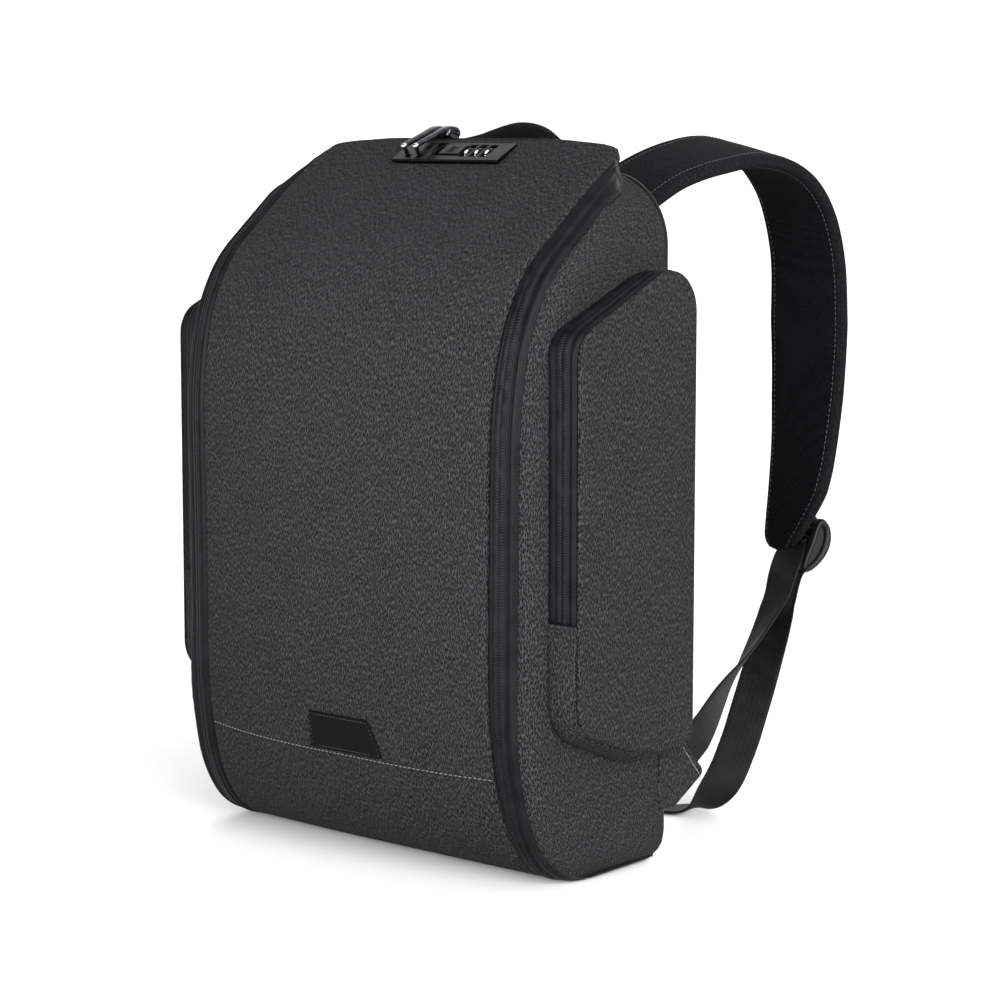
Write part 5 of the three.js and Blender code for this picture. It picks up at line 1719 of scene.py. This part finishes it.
@dataclass
class NumberLock:
    """The number lock: a gloss plate on the slope, three dials, a sliding button and two zip pulls."""

    flange: float = 2.6
    rise: float = 0.6
    merge: float = 0.01
    bevel: float = 0.7
    crease: float = 40
    dial_radius: float = 6.5
    dial_width: float = 5.0
    dial_axis: float = -2.6
    dial_up: float = 1.0
    dial_bore: float = 1.6
    dial_rim: Pairs = ((0, 5.4), (0.25, 5.9), (0.8, 6.3), (1.7, 6.5))
    dial_places: Numbers = (12, 20.5, 29)
    scallop: Groove = Groove(0.45, 0.12)
    scallop_above: float = 5
    digits: int = 10
    digit_steps: int = 10
    digit_size: float = 4.2
    digit_bold: float = 0.13
    ink: float = 0.06
    button: tuple[float, float, float, float] = (18, 11, 0.9, -1)
    button_edge: Triple = (1.2, -2.5, 0.6)
    ridge: Triple = (0.45, 3.2, 4.6)
    ridge_end: Pair = (1.6, 0.6)
    ridge_below: float = 0.05
    ridge_power: int = 8
    pull_places: Numbers = (-33.5, -23.5)
    pull_route: Pairs = ((53.6, 443.2), (51.5, 446.6), (46, 447.8), (34, 444))
    pull_head: Pair = (-6.5, 10.6)
    pull_wide: Numbers = (6.16, 8.12, 8.68, 6.16, 4.2)
    pull_thick: float = 2.6
    pull_swell: Pair = (0.15, 0.25)
    pull_steps: int = 40
    pin_foot: float = -3.5
    pin: Pairs = ((0, 1.04), (0.3, 1.3))
    pin_head: Pairs = (
        (-1.6, 1.3), (-1.2, 1.7), (-0.4, 2.1), (0.6, 2.1), (1.2, 1.6), (1.5, 0.8))
    pin_sides: int = 20
    slider: tuple[float, float, float, float] = (8.6, 12, 5.2, 0.6)
    slider_corners: Pair = (2, 2.6)
    slider_edge: Pair = (1.0, 0.5)

    def build(self) -> None:
        """Makes the plate, dials, button, pulls and sliders."""
        self.build_plate()
        for number, x in enumerate(self.dial_places, 1):
            self.build_dial(number, x)
        self.build_button()
        for number, x in enumerate(self.pull_places, 1):
            self.build_pull(number, x)
            self.build_slider(number, x)

    def build_plate(self) -> None:
        """Makes the plate from the solid, with its doubles merged and its edges rounded."""
        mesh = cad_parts["lock_plate"].data.copy()
        shape = bmesh.new()
        shape.from_mesh(mesh)
        bmesh.ops.remove_doubles(shape, verts=shape.verts, dist=self.merge * MM)
        shape.to_mesh(mesh)
        shape.free()
        flat = LOCK.place(LOCK.local(BackPanel.coordinates(mesh) / MM), self.rise)
        mesh.vertices.foreach_set("co", (flat * MM).astype(np.float32).ravel())
        mesh.name = "lock_plate_moulding"
        mesh.materials.clear()
        mesh.materials.append(LOCK_PLASTIC.material())
        mesh.shade_smooth()
        made = bpy.data.objects.new(mesh.name, mesh)
        bpy.context.scene.collection.objects.link(made)
        bevel = made.modifiers.new("Round edges", "BEVEL")
        bevel.width = self.bevel * MM
        bevel.segments = 3
        bevel.limit_method = "ANGLE"
        bevel.angle_limit = math.radians(self.crease)
        even = made.modifiers.new("Even shading", "WEIGHTED_NORMAL")
        even.keep_sharp = True
        dress(made, ("lock_plate",))

    def round_axis(self, x: Array, radius: Array | float, angle: Array) -> Array:
        """Points round the dials' axis, in the bag's frame."""
        up, out = self.dial_up + radius * np.cos(angle), self.dial_axis + radius * np.sin(angle)
        return LOCK.place(stacked(x, up, out))

    def build_dial(self, number: int, x: float) -> None:
        """Makes a dial: a rounded rim section carried round its axis, scalloped once for each digit."""
        turn = np.linspace(0, 2 * np.pi, self.digits * self.digit_steps, endpoint=False)[:, None]
        inward, reach = np.array([(0, self.dial_bore), *self.dial_rim]).T
        across = np.concatenate([inward, self.dial_width - inward[::-1]]) - self.dial_width / 2
        section = np.concatenate([reach, reach[::-1]])
        notch = self.scallop.at(turn * self.digits / (2 * np.pi) % 1 - 0.5)
        points = self.round_axis(x + across, section + notch * (section > self.scallop_above), turn)
        rows, columns = points.shape[:2]
        quads, spots = grid_faces(rows + 1, columns, np.zeros((rows + 1, columns + 1, 2)), True)
        wheel = Surface(points.reshape(-1, 3), [quads % (rows * columns)], [spots]).outward()
        body = f"dial_{number}"
        made = wheel.piece(f"number_dial_{number}", LOCK_PLASTIC, sharp=50)
        dress(made, (f"lock_dial_{number}",), body)
        dress(self.digit_ring(x).piece(f"dial_digits_{number}", WHITE_INK), body=body)

    def digit_ring(self, x: float) -> Surface:
        """The ten digits round a dial: each flat figure is bent onto the rim, a step further round."""
        ring = None
        radius = self.dial_radius + self.ink
        for digit in range(self.digits):
            text = bpy.data.curves.new("digit", "FONT")
            text.body = str(digit)
            text.align_x, text.align_y = "CENTER", "CENTER"
            text.size = self.digit_size
            text.offset = self.digit_bold
            holder = bpy.data.objects.new("digit", text)
            mesh = bpy.data.meshes.new_from_object(holder)
            spots = BackPanel.coordinates(mesh)
            faces = np.array([tuple(face.vertices) for face in mesh.polygons if len(face.vertices) == 3], int)
            bpy.data.objects.remove(holder)
            bpy.data.curves.remove(text)
            bpy.data.meshes.remove(mesh)
            angle = np.pi / 2 + 2 * np.pi * (digit + 0.5) / self.digits - spots[:, 1] / radius
            points = self.round_axis(x + spots[:, 0], radius, angle)
            flat = Surface(points, [faces], [np.zeros((len(faces), 3, 2))])
            ring = flat if ring is None else ring + flat
        return ring

    def build_button(self) -> None:
        """Makes the sliding button: a rounded block with finger ridges across its top."""
        width, height, proud, middle = self.button
        corner, low, fillet = self.button_edge
        outline, out = rounded(oblong(width, height, corner, corner), 6, 24)
        pad = cushion(outline, out, low, proud, fillet, rings=24)
        top = pad[..., 2] > proud - self.ridge_below
        high, pitch, reach = self.ridge
        wave = np.cos(pad[..., 0] * 2 * np.pi / pitch) ** self.ridge_power
        ridge = high * wave * hump(pad[..., 0], reach) ** 2
        end, fade = self.ridge_end
        pad[..., 2] += top * ridge * np.clip((height / 2 - end - np.abs(pad[..., 1])) / fade, 0, 1)
        points = LOCK.place(pad + np.array([middle, self.dial_up, self.flange]), self.rise)
        made = loft(points, pad[..., :2]).piece("lock_button_cap", LOCK_PLASTIC, sharp=60)
        dress(made, ("lock_button",), "button")

    def build_pull(self, number: int, x: float) -> None:
        """Makes a pull: a bar bent over the ridge, with a round head and a pin that stands in the lock."""
        up, out = self.pull_head
        head = LOCK.place(np.array([x, up, out]))
        knots = np.array([(x, y, z) for y, z in self.pull_route] + [tuple(head)])
        sideways = np.tile([1.0, 0.0, 0.0], (len(knots), 1))
        route = Route.of(knots, sideways, np.array(self.pull_wide), self.pull_steps)
        bar = route.band(self.pull_thick, self.pull_swell, flats=6, arc=6)
        angle = np.linspace(0, 2 * np.pi, self.pin_sides, endpoint=False)
        turned = np.array([(self.pin_foot + rise, radius) for rise, radius in self.pin]
                          + [(out + rise, radius) for rise, radius in self.pin_head])
        heights, radii = np.split(turned, 2, axis=1)
        local = stacked(x + radii * np.cos(angle), up + radii * np.sin(angle), heights)
        pin = loft(LOCK.place(local), np.zeros((*local.shape[:2], 2)))
        dress(bar.piece(f"pull_bar_{number}", GUNMETAL, sharp=50), (f"zip_pull_{number}",))
        dress(pin.piece(f"pull_pin_{number}", NICKEL, sharp=50))

    def build_slider(self, number: int, x: float) -> None:
        """Makes a slider: a rounded block that rides on the zip at the ridge."""
        width, length, thick, lift = self.slider
        outline, out = rounded(oblong(width, length, *self.slider_corners), 8, 6)
        pad = cushion(outline, out, lift, lift + thick, *self.slider_edge)
        y, z, heading = FORM.at(np.full(pad.shape[:2], FORM.length + FORM.zip_width / 2))
        points = stacked(x + pad[..., 0], y - np.cos(heading) * pad[..., 1] - np.sin(heading) * pad[..., 2],
                         z + np.sin(heading) * pad[..., 1] - np.cos(heading) * pad[..., 2])
        made = loft(points, pad[..., :2]).piece(f"slider_body_{number}", GUNMETAL)
        dress(made, (f"zip_slider_{number}",))


@dataclass(frozen=True)
class BandKnot:
    """A place that a band passes: x, distance out from the back's face, height, and its width's direction."""

    x: float
    out: float
    z: float
    across: Triple
    wide: float = 24
    arch: float = 0

    def at(self, sag: float = 0.0, clear: float = 0.0) -> Triple:
        """The place in the bag's frame, with a share of a sag taken off its height."""
        return self.x, FORM.back_face + clear + self.out, self.z - self.arch * sag


def follow(knots: tuple[BandKnot, ...], steps: int, sag: float = 0.0, clear: float = 0.0,
           first: Array | None = None) -> Route:
    """The route of a band past its knots.

    Args:
        knots: The places that it passes.
        steps: Number of steps along it.
        sag: How much lower it hangs at the top of its arch.
        clear: How much further out from the back's face it lies.
        first: The direction in which it starts, where that is held.

    Returns:
        The route.
    """
    places = np.array([knot.at(sag, clear) for knot in knots])
    across = np.array([knot.across for knot in knots], float)
    return Route.of(places, across, np.array([knot.wide for knot in knots], float), steps, first)


@dataclass
class GrabHandle:
    """The grab handle: a padded band sewn to the back at both ends and arched over the top edge."""

    thick: float = 5
    thinner: float = 0.6
    steps: int = 120
    swell: Pair = (0.3, 0.5)
    stitch: Stitch = Stitch(3.2, 2.2, 0.6, 0.35)
    stitch_in: float = 4
    stitch_lift: float = 0.05
    route: tuple[BandKnot, ...] = (
        BandKnot(-54, 2.8, 404, (1, 0, 0)), BandKnot(-53, 3.4, 420, (1, 0, 0)),
        BandKnot(-42, 12, 429, (0.7, 0.7, -0.25)), BandKnot(-20, 20, 437, (0.2, 1, -0.5)),
        BandKnot(11, 22, 444.4, (0, 1, -0.6)), BandKnot(32, 20, 441.5, (-0.2, 1, -0.55)),
        BandKnot(48, 12, 430, (-0.7, 0.7, -0.25)), BandKnot(53, 3.4, 420, (-1, 0, 0)),
        BandKnot(54, 2.8, 404, (-1, 0, 0)))

    def build(self) -> None:
        """Makes the band and the stitching along its two edges."""
        route = follow(self.route, self.steps)
        made = route.band(self.thick - self.thinner, self.swell).piece("grab_handle_band", STRAP_CLOTH)
        dress(made, ("top_handle",), soft=Soft.PADDED)
        lines = (route.line(edge * (route.wide / 2 - self.stitch_in), self.thick / 2 + self.stitch_lift)
                 for edge in (-1, 1))
        low, high = (self.stitch.row(line, route.up) for line in lines)
        dress((low + high).piece("grab_handle_stitching", BLACK_THREAD))


@dataclass
class ShoulderStrap:
    """A shoulder strap: padded cloth outside, mesh inside a border, over an arch down to its buckle."""

    thick: float = 9
    border: float = 3.4
    steps: int = 200
    route: tuple[BandKnot, ...] = (
        BandKnot(88, 0, 394, (1, 0, 0), 60, 0), BandKnot(88, 10.6, 399, (1, 0, -0.02), 60, 0.1),
        BandKnot(89, 48.6, 418, (1, 0, -0.12), 61, 0.6), BandKnot(90, 90.6, 429, (1, 0, -0.2), 62, 0.9),
        BandKnot(90, 134.6, 433, (1, 0, -0.23), 62, 1), BandKnot(90, 170.6, 424, (1, 0, -0.2), 62, 0.9),
        BandKnot(90, 197.6, 402, (1, -0.05, -0.12), 62, 0.6),
        BandKnot(90, 213.6, 366, (1, -0.04, 0), 61, 0.2), BandKnot(89, 218.6, 318, (1, 0, 0), 62, 0),
        BandKnot(89, 217.6, 268, (1, -0.08, 0), 61, 0), BandKnot(90, 210.6, 220, (1, -0.2, 0), 59, 0),
        BandKnot(91, 193.0, 165.5, (0.92, -0.38, 0.1), 55, 0))
    sag_left: float = 16
    end_cut: Triple = (19, 42, 1.4)
    end_round: Pair = (20, 14)
    end_thin: Pair = (3.5, 45)
    thinner: float = 1
    swell: Pair = (0.6, 0.2)
    lining_from: int = 6
    lining_thick: float = 1.6
    lining_sink: float = 0.2
    lining_swell: Pair = (0.0, 0.7)
    stitch: Stitch = Stitch(3.6, 2.4, 0.6, 0.35)
    stitch_low: Pair = (2.2, 0.75)
    stitch_high: Pair = (8, 0.2)

    def path(self, side: Side) -> Route:
        """The strap's route, as on the right side, with the left one's sag."""
        sag = self.sag_left if side is Side.LEFT else 0.0
        return follow(self.route, self.steps, sag, GAP, np.array([0.0, 1.0, 0.0]))

    def build(self, side: Side) -> None:
        """Makes the strap's cloth, its mesh lining and its stitching."""
        route = self.path(side)
        run = route.run
        left = run[-1] - run
        cut, reach, power = self.end_cut
        near = cut * np.clip(1 - left / reach, 0, 1) ** power
        over = 1 - np.clip(left / self.end_round[1], 0, 1)
        far = self.end_round[0] * (1 - np.sqrt(1 - over ** 2))
        route = replace(route, wide=route.wide - near - far, centre=route.line((far - near) / 2, 0.0))
        thick = self.thick - self.thinner - self.end_thin[0] * np.clip(1 - left / self.end_thin[1], 0, 1)
        band = route.band(thick, self.swell, flats=20).on(side)
        made = band.piece(f"strap_cloth_{side.word}", STRAP_CLOTH)
        dress(made, (f"shoulder_strap_{side.word}",), soft=Soft.PADDED)
        inner, thick = route.cut(self.lining_from, len(run)), thick[self.lining_from:]
        lining = replace(inner, centre=inner.line(0.0, thick / 2 - self.lining_sink),
                         wide=inner.wide - 2 * self.border)
        pad = lining.band(self.lining_thick, self.lining_swell, flats=16).on(side)
        dress(pad.piece(f"strap_lining_{side.word}", MESH), soft=Soft.PADDED)
        for edge, word, thread in ((-1, "inner", BLACK_THREAD), (1, "outer", DARK_THREAD)):
            low = inner.line(edge * (inner.wide / 2 - self.border - self.stitch_low[0]),
                             thick / 2 + self.stitch_low[1])
            high = inner.line(edge * (inner.wide / 2 - self.stitch_high[0]), -thick / 2 - self.stitch_high[1])
            rows = self.stitch.row(low, inner.up) + self.stitch.row(high, -inner.up)
            dress(rows.on(side).piece(f"strap_stitching_{word}_{side.word}", thread))


@dataclass
class StrapEnd:
    """Below a strap: its loop, the buckle, and the webbing from a tab through it to a free tail."""

    width: float = 40
    thick: float = 4.5
    side_bar: float = 6.5
    bars: Pairs = ((3.4, 8.4), (14.5, 18.5), (26, 30))
    cheek: Triples = ((-1.5, 1, 4), (0.5, 5.5, 4.6), (5, 8.5, 5.6), (11, 10, 6.2), (18, 9.5, 5.8),
                      (25.5, 6.8, 4.8), (31.5, 2.5, 4.2), (32.8, 0, 4), (29, -1, 3.6), (14, -0.6, 3.4),
                      (2, -0.6, 3.6))
    # A dark plate fills each cheek's D where the real buckle is open: it stands in for the shade seen through
    # it.
    cheek_web: Triples = ((-1, 0, 0.6), (2, 6, 3), (11, 9.6, 6), (20, 8.8, 6), (31, 2, 2), (31, 0, 0.6))
    cheek_steps: int = 72
    web_half: float = 0.7
    web_fillet: float = 0.4
    bar_swell: Pair = (0.1, 0.1)
    bar_thinner: float = 0.6
    bar_places: int = 7
    grip_lift: float = 0.6
    shift: float = 4
    drop: float = -22.7
    stand_off: float = 5
    down: Triple = (0.0, -0.45, -0.89)
    flat: Triple = (0.93, -0.37, 0.1)
    wrap_angles: Numbers = (-90, -45, 0, 45, 90)
    web_wide: float = 25
    web_edges: float = 2
    web_thick: float = 1.8
    web_steps: int = 330
    web_wrap: float = 4.4
    web_leave: Pair = (11, 0.5)
    loop_wide: float = 19
    loop_thick: float = 1.6
    loop_steps: int = 60
    loop_wrap: float = 4.5
    loop_from: Pair = (8, 6)
    loop_flat: Pair = (21, 32)
    rise: tuple = (((149, 76, 66), (0, -0.6, 0.8)), ((148.6, 90, 75), (0, -0.6, 0.8)),
                   ((141.5, 120, 92.5), (0.36, -0.88, 0.3)), ((131.5, 158, 111.4), (0.66, -0.74, 0.13)),
                   ((120.5, 203, 141.3), (0.86, -0.5, -0.06)), ((110.5, 226, 156.8), (0.9, -0.42, -0.05)))
    tail: tuple = (((108.1, 238, 149.1), (0.86, -0.48, 0.13)), ((108.8, 228, 131.5), (0.92, -0.35, 0.12)),
                   ((108, 216, 113.5), (0.93, 0.25, 0.05)), ((105, 200, 73), (0.78, 0.62, 0)),
                   ((103, 187, 43), (0.74, 0.67, 0)), ((98, 176, 20), (0.66, 0.75, 0.1)),
                   ((86, 167, 5.5), (0.4, 0.9, 0.15)), ((68, 161, 1.5), (0.1, 1, 0.02)),
                   ((45, 158, 1.2), (0, 1, 0)), ((15, 157, 1.2), (0, 1, 0)))
    tab: Triples = ((46, 34, 3), (46, 81, 3), (71, 73, 6), (91, 51, 4), (62, 34, 5))
    tab_flat: Pair = (46, 48)
    tab_sink: float = 1.1
    tab_thick: float = 2.2
    tab_fillet: float = 1
    tab_crown: float = 0.2
    tab_line: Pairs = ((63, 76.5), (85.5, 49.5))
    tab_places: int = 30
    stitch: Stitch = Stitch(2.6, 2.3, 0.8, 0.4)
    stitch_lift: float = 0.25

    def axes(self) -> tuple[Array, Array, Array, Array]:
        """The buckle's origin at the strap's end, and its directions across, down and out behind."""
        across = unit(np.array(self.flat))
        down = np.array(self.down)
        down = unit(down - across * (down @ across))
        out = np.cross(across, down)
        end = np.array(ShoulderStrap.route[-1].at(0.0, GAP))
        return end + across * self.shift + down * self.drop + out * self.stand_off, across, down, out

    def place(self, local: Array) -> Array:
        """Turns points of the buckle's frame into the bag's."""
        origin, across, down, out = self.axes()
        return origin + local[..., :1] * across + local[..., 1:2] * down + local[..., 2:] * out

    def half_round(self, middle: float, radius: float, turned: int) -> Array:
        """Points half way round a bar of the buckle, from its front to its back."""
        angle = np.radians(self.wrap_angles)
        return stacked(0.0, middle + turned * radius * np.cos(angle), radius * np.sin(angle))

    def build(self, side: Side) -> None:
        """Makes the loop, buckle, webbing and tab of one side."""
        made = self.buckle().on(side).piece(f"ladder_buckle_{side.word}", BUCKLE_PLASTIC)
        dress(made, (f"ladder_lock_{side.word}",))
        self.build_loop(side)
        self.build_webbing(side)
        self.build_tab(side)

    def bar(self, points: Array, wide: float, thick: float) -> Surface:
        """A rounded plastic bar along a line of the buckle's frame, wide in its plane.

        Args:
            points: Points of the line.
            wide: The bar's width.
            thick: Its thickness.

        Returns:
            The closed bar.
        """
        knots = self.place(points)
        _, across, down, _ = self.axes()
        middle = np.gradient(points, axis=0)
        flat = unit(stacked(-middle[:, 1], middle[:, 0]))
        spread = flat[:, :1] * across + flat[:, 1:] * down
        route = Route.of(knots, spread, np.full(len(knots), wide), 4 * len(knots))
        return route.band(thick, self.bar_swell, 4, 8)

    def even(self, knots: Array, wide: float, steps: int) -> Route:
        """A route of one width that lies across the buckle all the way."""
        _, across, _, _ = self.axes()
        return Route.of(knots, np.tile(across, (len(knots), 1)), np.full(len(knots), wide), steps)

    def cheek_ring(self, x: float) -> Surface:
        """One cheek: a closed bar round a D, thickest where it bulges out behind, with a dark plate inside
        that stands in for the shade seen through its opening.
        """
        ring = np.array(self.cheek + self.cheek[:2])
        knots = self.place(stacked(x, ring[:, 0], ring[:, 1]))
        at = np.linspace(0, len(ring) - 1, self.cheek_steps + 1)
        thick = np.interp(at, np.arange(len(ring)), ring[:, 2])
        bar = self.even(knots, self.side_bar, self.cheek_steps).band(thick, self.bar_swell, 4, 8)
        # Fill the D with a thin plate of the same dark plastic, standing in for the shade seen through the
        # opening.
        outline, away = rounded(self.cheek_web, 6, 6)
        shade_plate = cushion(outline, away, -self.web_half, self.web_half, self.web_fillet, rings=6)
        return bar + loft(self.place(shade_plate[..., [2, 0, 1]] + np.array([x, 0, 0])), shade_plate[..., :2])

    def buckle(self) -> Surface:
        """The buckle: two deep cheeks shaped like a D, and three cross bars, the lowest lifted as a grip."""
        w = self.width / 2 - self.side_bar / 2
        span = np.linspace(-w, w, self.bar_places)
        whole = self.cheek_ring(-w) + self.cheek_ring(w)
        for first, last in self.bars:
            lift = self.grip_lift if (first, last) == self.bars[-1] else 0.0
            line = stacked(span, (first + last) / 2, lift)
            whole = whole + self.bar(line, last - first, self.thick - self.bar_thinner)
        return whole

    def build_loop(self, side: Side) -> None:
        """Makes the short loop that holds the buckle's top bar to the strap."""
        first, last = self.bars[0]
        wrap = self.half_round((first + last) / 2, self.loop_wrap, 1)
        high, under = first - self.loop_from[0], self.loop_from[1] - self.stand_off
        local = np.vstack([[0, high, under], wrap, [0, high, under + 2 * self.loop_thick]])
        route = self.even(self.place(local), self.loop_wide, self.loop_steps)
        made = route.band(self.loop_thick).on(side).piece(f"strap_end_loop_{side.word}", WEBBING)
        dress(made, (f"strap_loop_{side.word}",), soft=Soft.SHEET, flat=self.loop_flat)

    def build_webbing(self, side: Side) -> None:
        """Makes the webbing: up from the tab, round the middle bar, and down to its tail on the floor."""
        first, last = self.bars[1]
        wrap = self.half_round((first + last) / 2, self.web_wrap, -1)
        past = np.array([[0, last + self.web_leave[0], self.web_wrap + self.web_leave[1]]])
        turn = self.place(np.vstack([wrap, past]))
        _, across, _, _ = self.axes()
        (low, low_to), (high, high_to) = zip(*self.rise), zip(*self.tail)
        knots = np.vstack([low, turn, high])
        spread = np.vstack([low_to, np.tile(across, (len(turn), 1)), high_to])
        route = Route.of(knots, spread, np.full(len(knots), self.web_wide), self.web_steps)
        made = route.band(self.web_thick, flats=10, arc=4).on(side).piece(f"webbing_{side.word}", WEBBING)
        length = float(route.run[-1])
        dress(made, (f"strap_webbing_{side.word}",), soft=Soft.SHEET,
              flat=(self.web_wide + self.web_edges, length))

    def build_tab(self, side: Side) -> None:
        """Makes the cloth tab on the bag's side, with the row of stitches that holds the webbing."""
        outline, away = rounded(self.tab, 6, 10)
        inside = FORM.back_half + GAP - self.tab_sink
        face = inside + self.tab_thick
        pad = cushion(outline, away, inside, face, self.tab_fillet, self.tab_crown)
        made = loft(pad[..., [2, 0, 1]], pad[..., :2]).on(side).piece(f"webbing_tab_{side.word}", HEATHER)
        dress(made, (f"strap_tab_{side.word}",), soft=Soft.SHEET, flat=self.tab_flat)
        ends = np.array(self.tab_line, float)
        share = np.linspace(0, 1, self.tab_places)[:, None]
        spots = ends[0] * (1 - share) + ends[1] * share
        line = stacked(face + self.stitch_lift, *spots.T)
        row = self.stitch.row(line, np.tile([1.0, 0.0, 0.0], (len(line), 1))).on(side)
        dress(row.piece(f"tab_stitching_{side.word}", GREY_THREAD))


@dataclass
class Studio:
    """A pale floor, soft lights and the camera."""

    camera_at: Triple = (1260.11, -1332.47, 455.4)
    azimuth: float = 41.97
    pitch: float = 7.41
    lens: float = 106.23
    sensor: float = 36
    floor: float = 120000
    floor_below: float = 0.05
    walls: Pair = (0.16, 0.5)
    horizon: str = "#ffffff"
    ceiling: str = "#4a4a4a"
    glow: float = 1.08
    lights: tuple = (
        ("Back silk", (0.1, 0.55, 0.83), 110, 2.2),
        ("Front silk", (0.12, -1.0, 0.24), 46, 1.4),
        ("Right silk", (1.0, -0.35, 0.3), 50, 7.2),
        ("Rear silk", (-0.35, 1.0, 0.1), 40, 4.5))
    flagged: str = "Rear silk"
    softbox_at: Triple = (160, -760, 360)
    softbox_aim: Triple = (0, -60, 290)
    softbox_size: Pair = (520, 420)
    softbox_power: float = 1.4
    softbox_grid: float = 64

    def build(self) -> None:
        """Makes the floor, the lights and the camera."""
        scene = bpy.context.scene
        scene.view_settings.view_transform = "Standard"
        half = self.floor / 2
        corners = np.array([(x, y, -self.floor_below) for x, y, _ in oblong(2 * half, 2 * half, 0, 0)])
        floor = Surface(corners, [np.array([[0, 1, 2, 3]])], [corners[None, :, :2]])
        floor.piece("studio_floor", PALE_FLOOR)
        scene.world = self.surround()
        for name, towards, spread, power in self.lights:
            self.light(name, towards, spread, power)
        self.softbox()
        data = bpy.data.cameras.new("Camera")
        data.lens, data.sensor_width = self.lens, self.sensor
        camera = bpy.data.objects.new("Camera", data)
        camera.location = np.array(self.camera_at) * MM
        camera.rotation_euler = (math.radians(90 - self.pitch), 0, math.radians(self.azimuth))
        scene.collection.objects.link(camera)
        scene.camera = camera

    def surround(self) -> bpy.types.World:
        """A surround that is white at the horizon and greyer overhead, like a room with white walls."""
        world = bpy.data.worlds.new("White wall under a grey ceiling")
        world.use_nodes = True
        tree, (low, high) = world.node_tree, self.walls
        ray = add(tree, "TexCoord").outputs["Generated"]
        height = add(tree, "SeparateXYZ", {"Vector": ray}).outputs["Z"]
        colour = add(tree, "ValToRGB", {"Fac": height}, ((low, self.horizon), (high, self.ceiling)))
        back = tree.nodes["Background"]
        tree.links.new(colour.outputs["Color"], back.inputs["Color"])
        back.inputs["Strength"].default_value = self.glow
        return world

    @staticmethod
    def hang(lamp: Piece, towards: Triple) -> None:
        """Turns a lamp to shine from a direction, and puts it into the scene."""
        x, y, z = towards
        lamp.rotation_euler = (math.atan2(math.hypot(x, y), z), 0, math.atan2(x, -y))
        bpy.context.scene.collection.objects.link(lamp)

    def softbox(self) -> None:
        """Adds a gridded softbox near the front, aimed above half height, so foot and top fall into shade."""
        data = bpy.data.lights.new("Front softbox", "AREA")
        data.shape = "RECTANGLE"
        data.size, data.size_y = (size * MM for size in self.softbox_size)
        data.energy, data.spread = self.softbox_power, math.radians(self.softbox_grid)
        lamp = bpy.data.objects.new("Front softbox", data)
        lamp.location = np.array(self.softbox_at) * MM
        lamp.visible_camera = False
        self.hang(lamp, (np.array(self.softbox_at) - self.softbox_aim).tolist())

    def light(self, name: str, towards: Triple, spread: float, power: float) -> None:
        """Adds a far light behind a large silk, so that it falls evenly and throws soft shadows.

        The rear one is flagged off from gloss, so that the zip's fold at the top corner doesn't glint.

        Args:
            name: Its name.
            towards: The direction to it.
            spread: How wide it looks, in degrees.
            power: Its power over a square metre that faces it.
        """
        data = bpy.data.lights.new(name, "SUN")
        data.energy, data.angle = power, math.radians(spread)
        lamp = bpy.data.objects.new(name, data)
        lamp.visible_glossy = name != self.flagged
        self.hang(lamp, towards)


def main() -> None:
    """Builds the studio and each sub-assembly in order."""
    logging.basicConfig(level=logging.INFO, format="%(name)s %(message)s")
    Studio().build()
    FrontPanel().build()
    MainZip().build()
    SIDES.build_base()
    BackPanel().build()
    NumberLock().build()
    GrabHandle().build()
    for side in Side:
        SIDES.build(side)
        SidePocket().build(side)
        ShoulderStrap().build(side)
        StrapEnd().build(side)


if __name__ == "__main__":
    main()
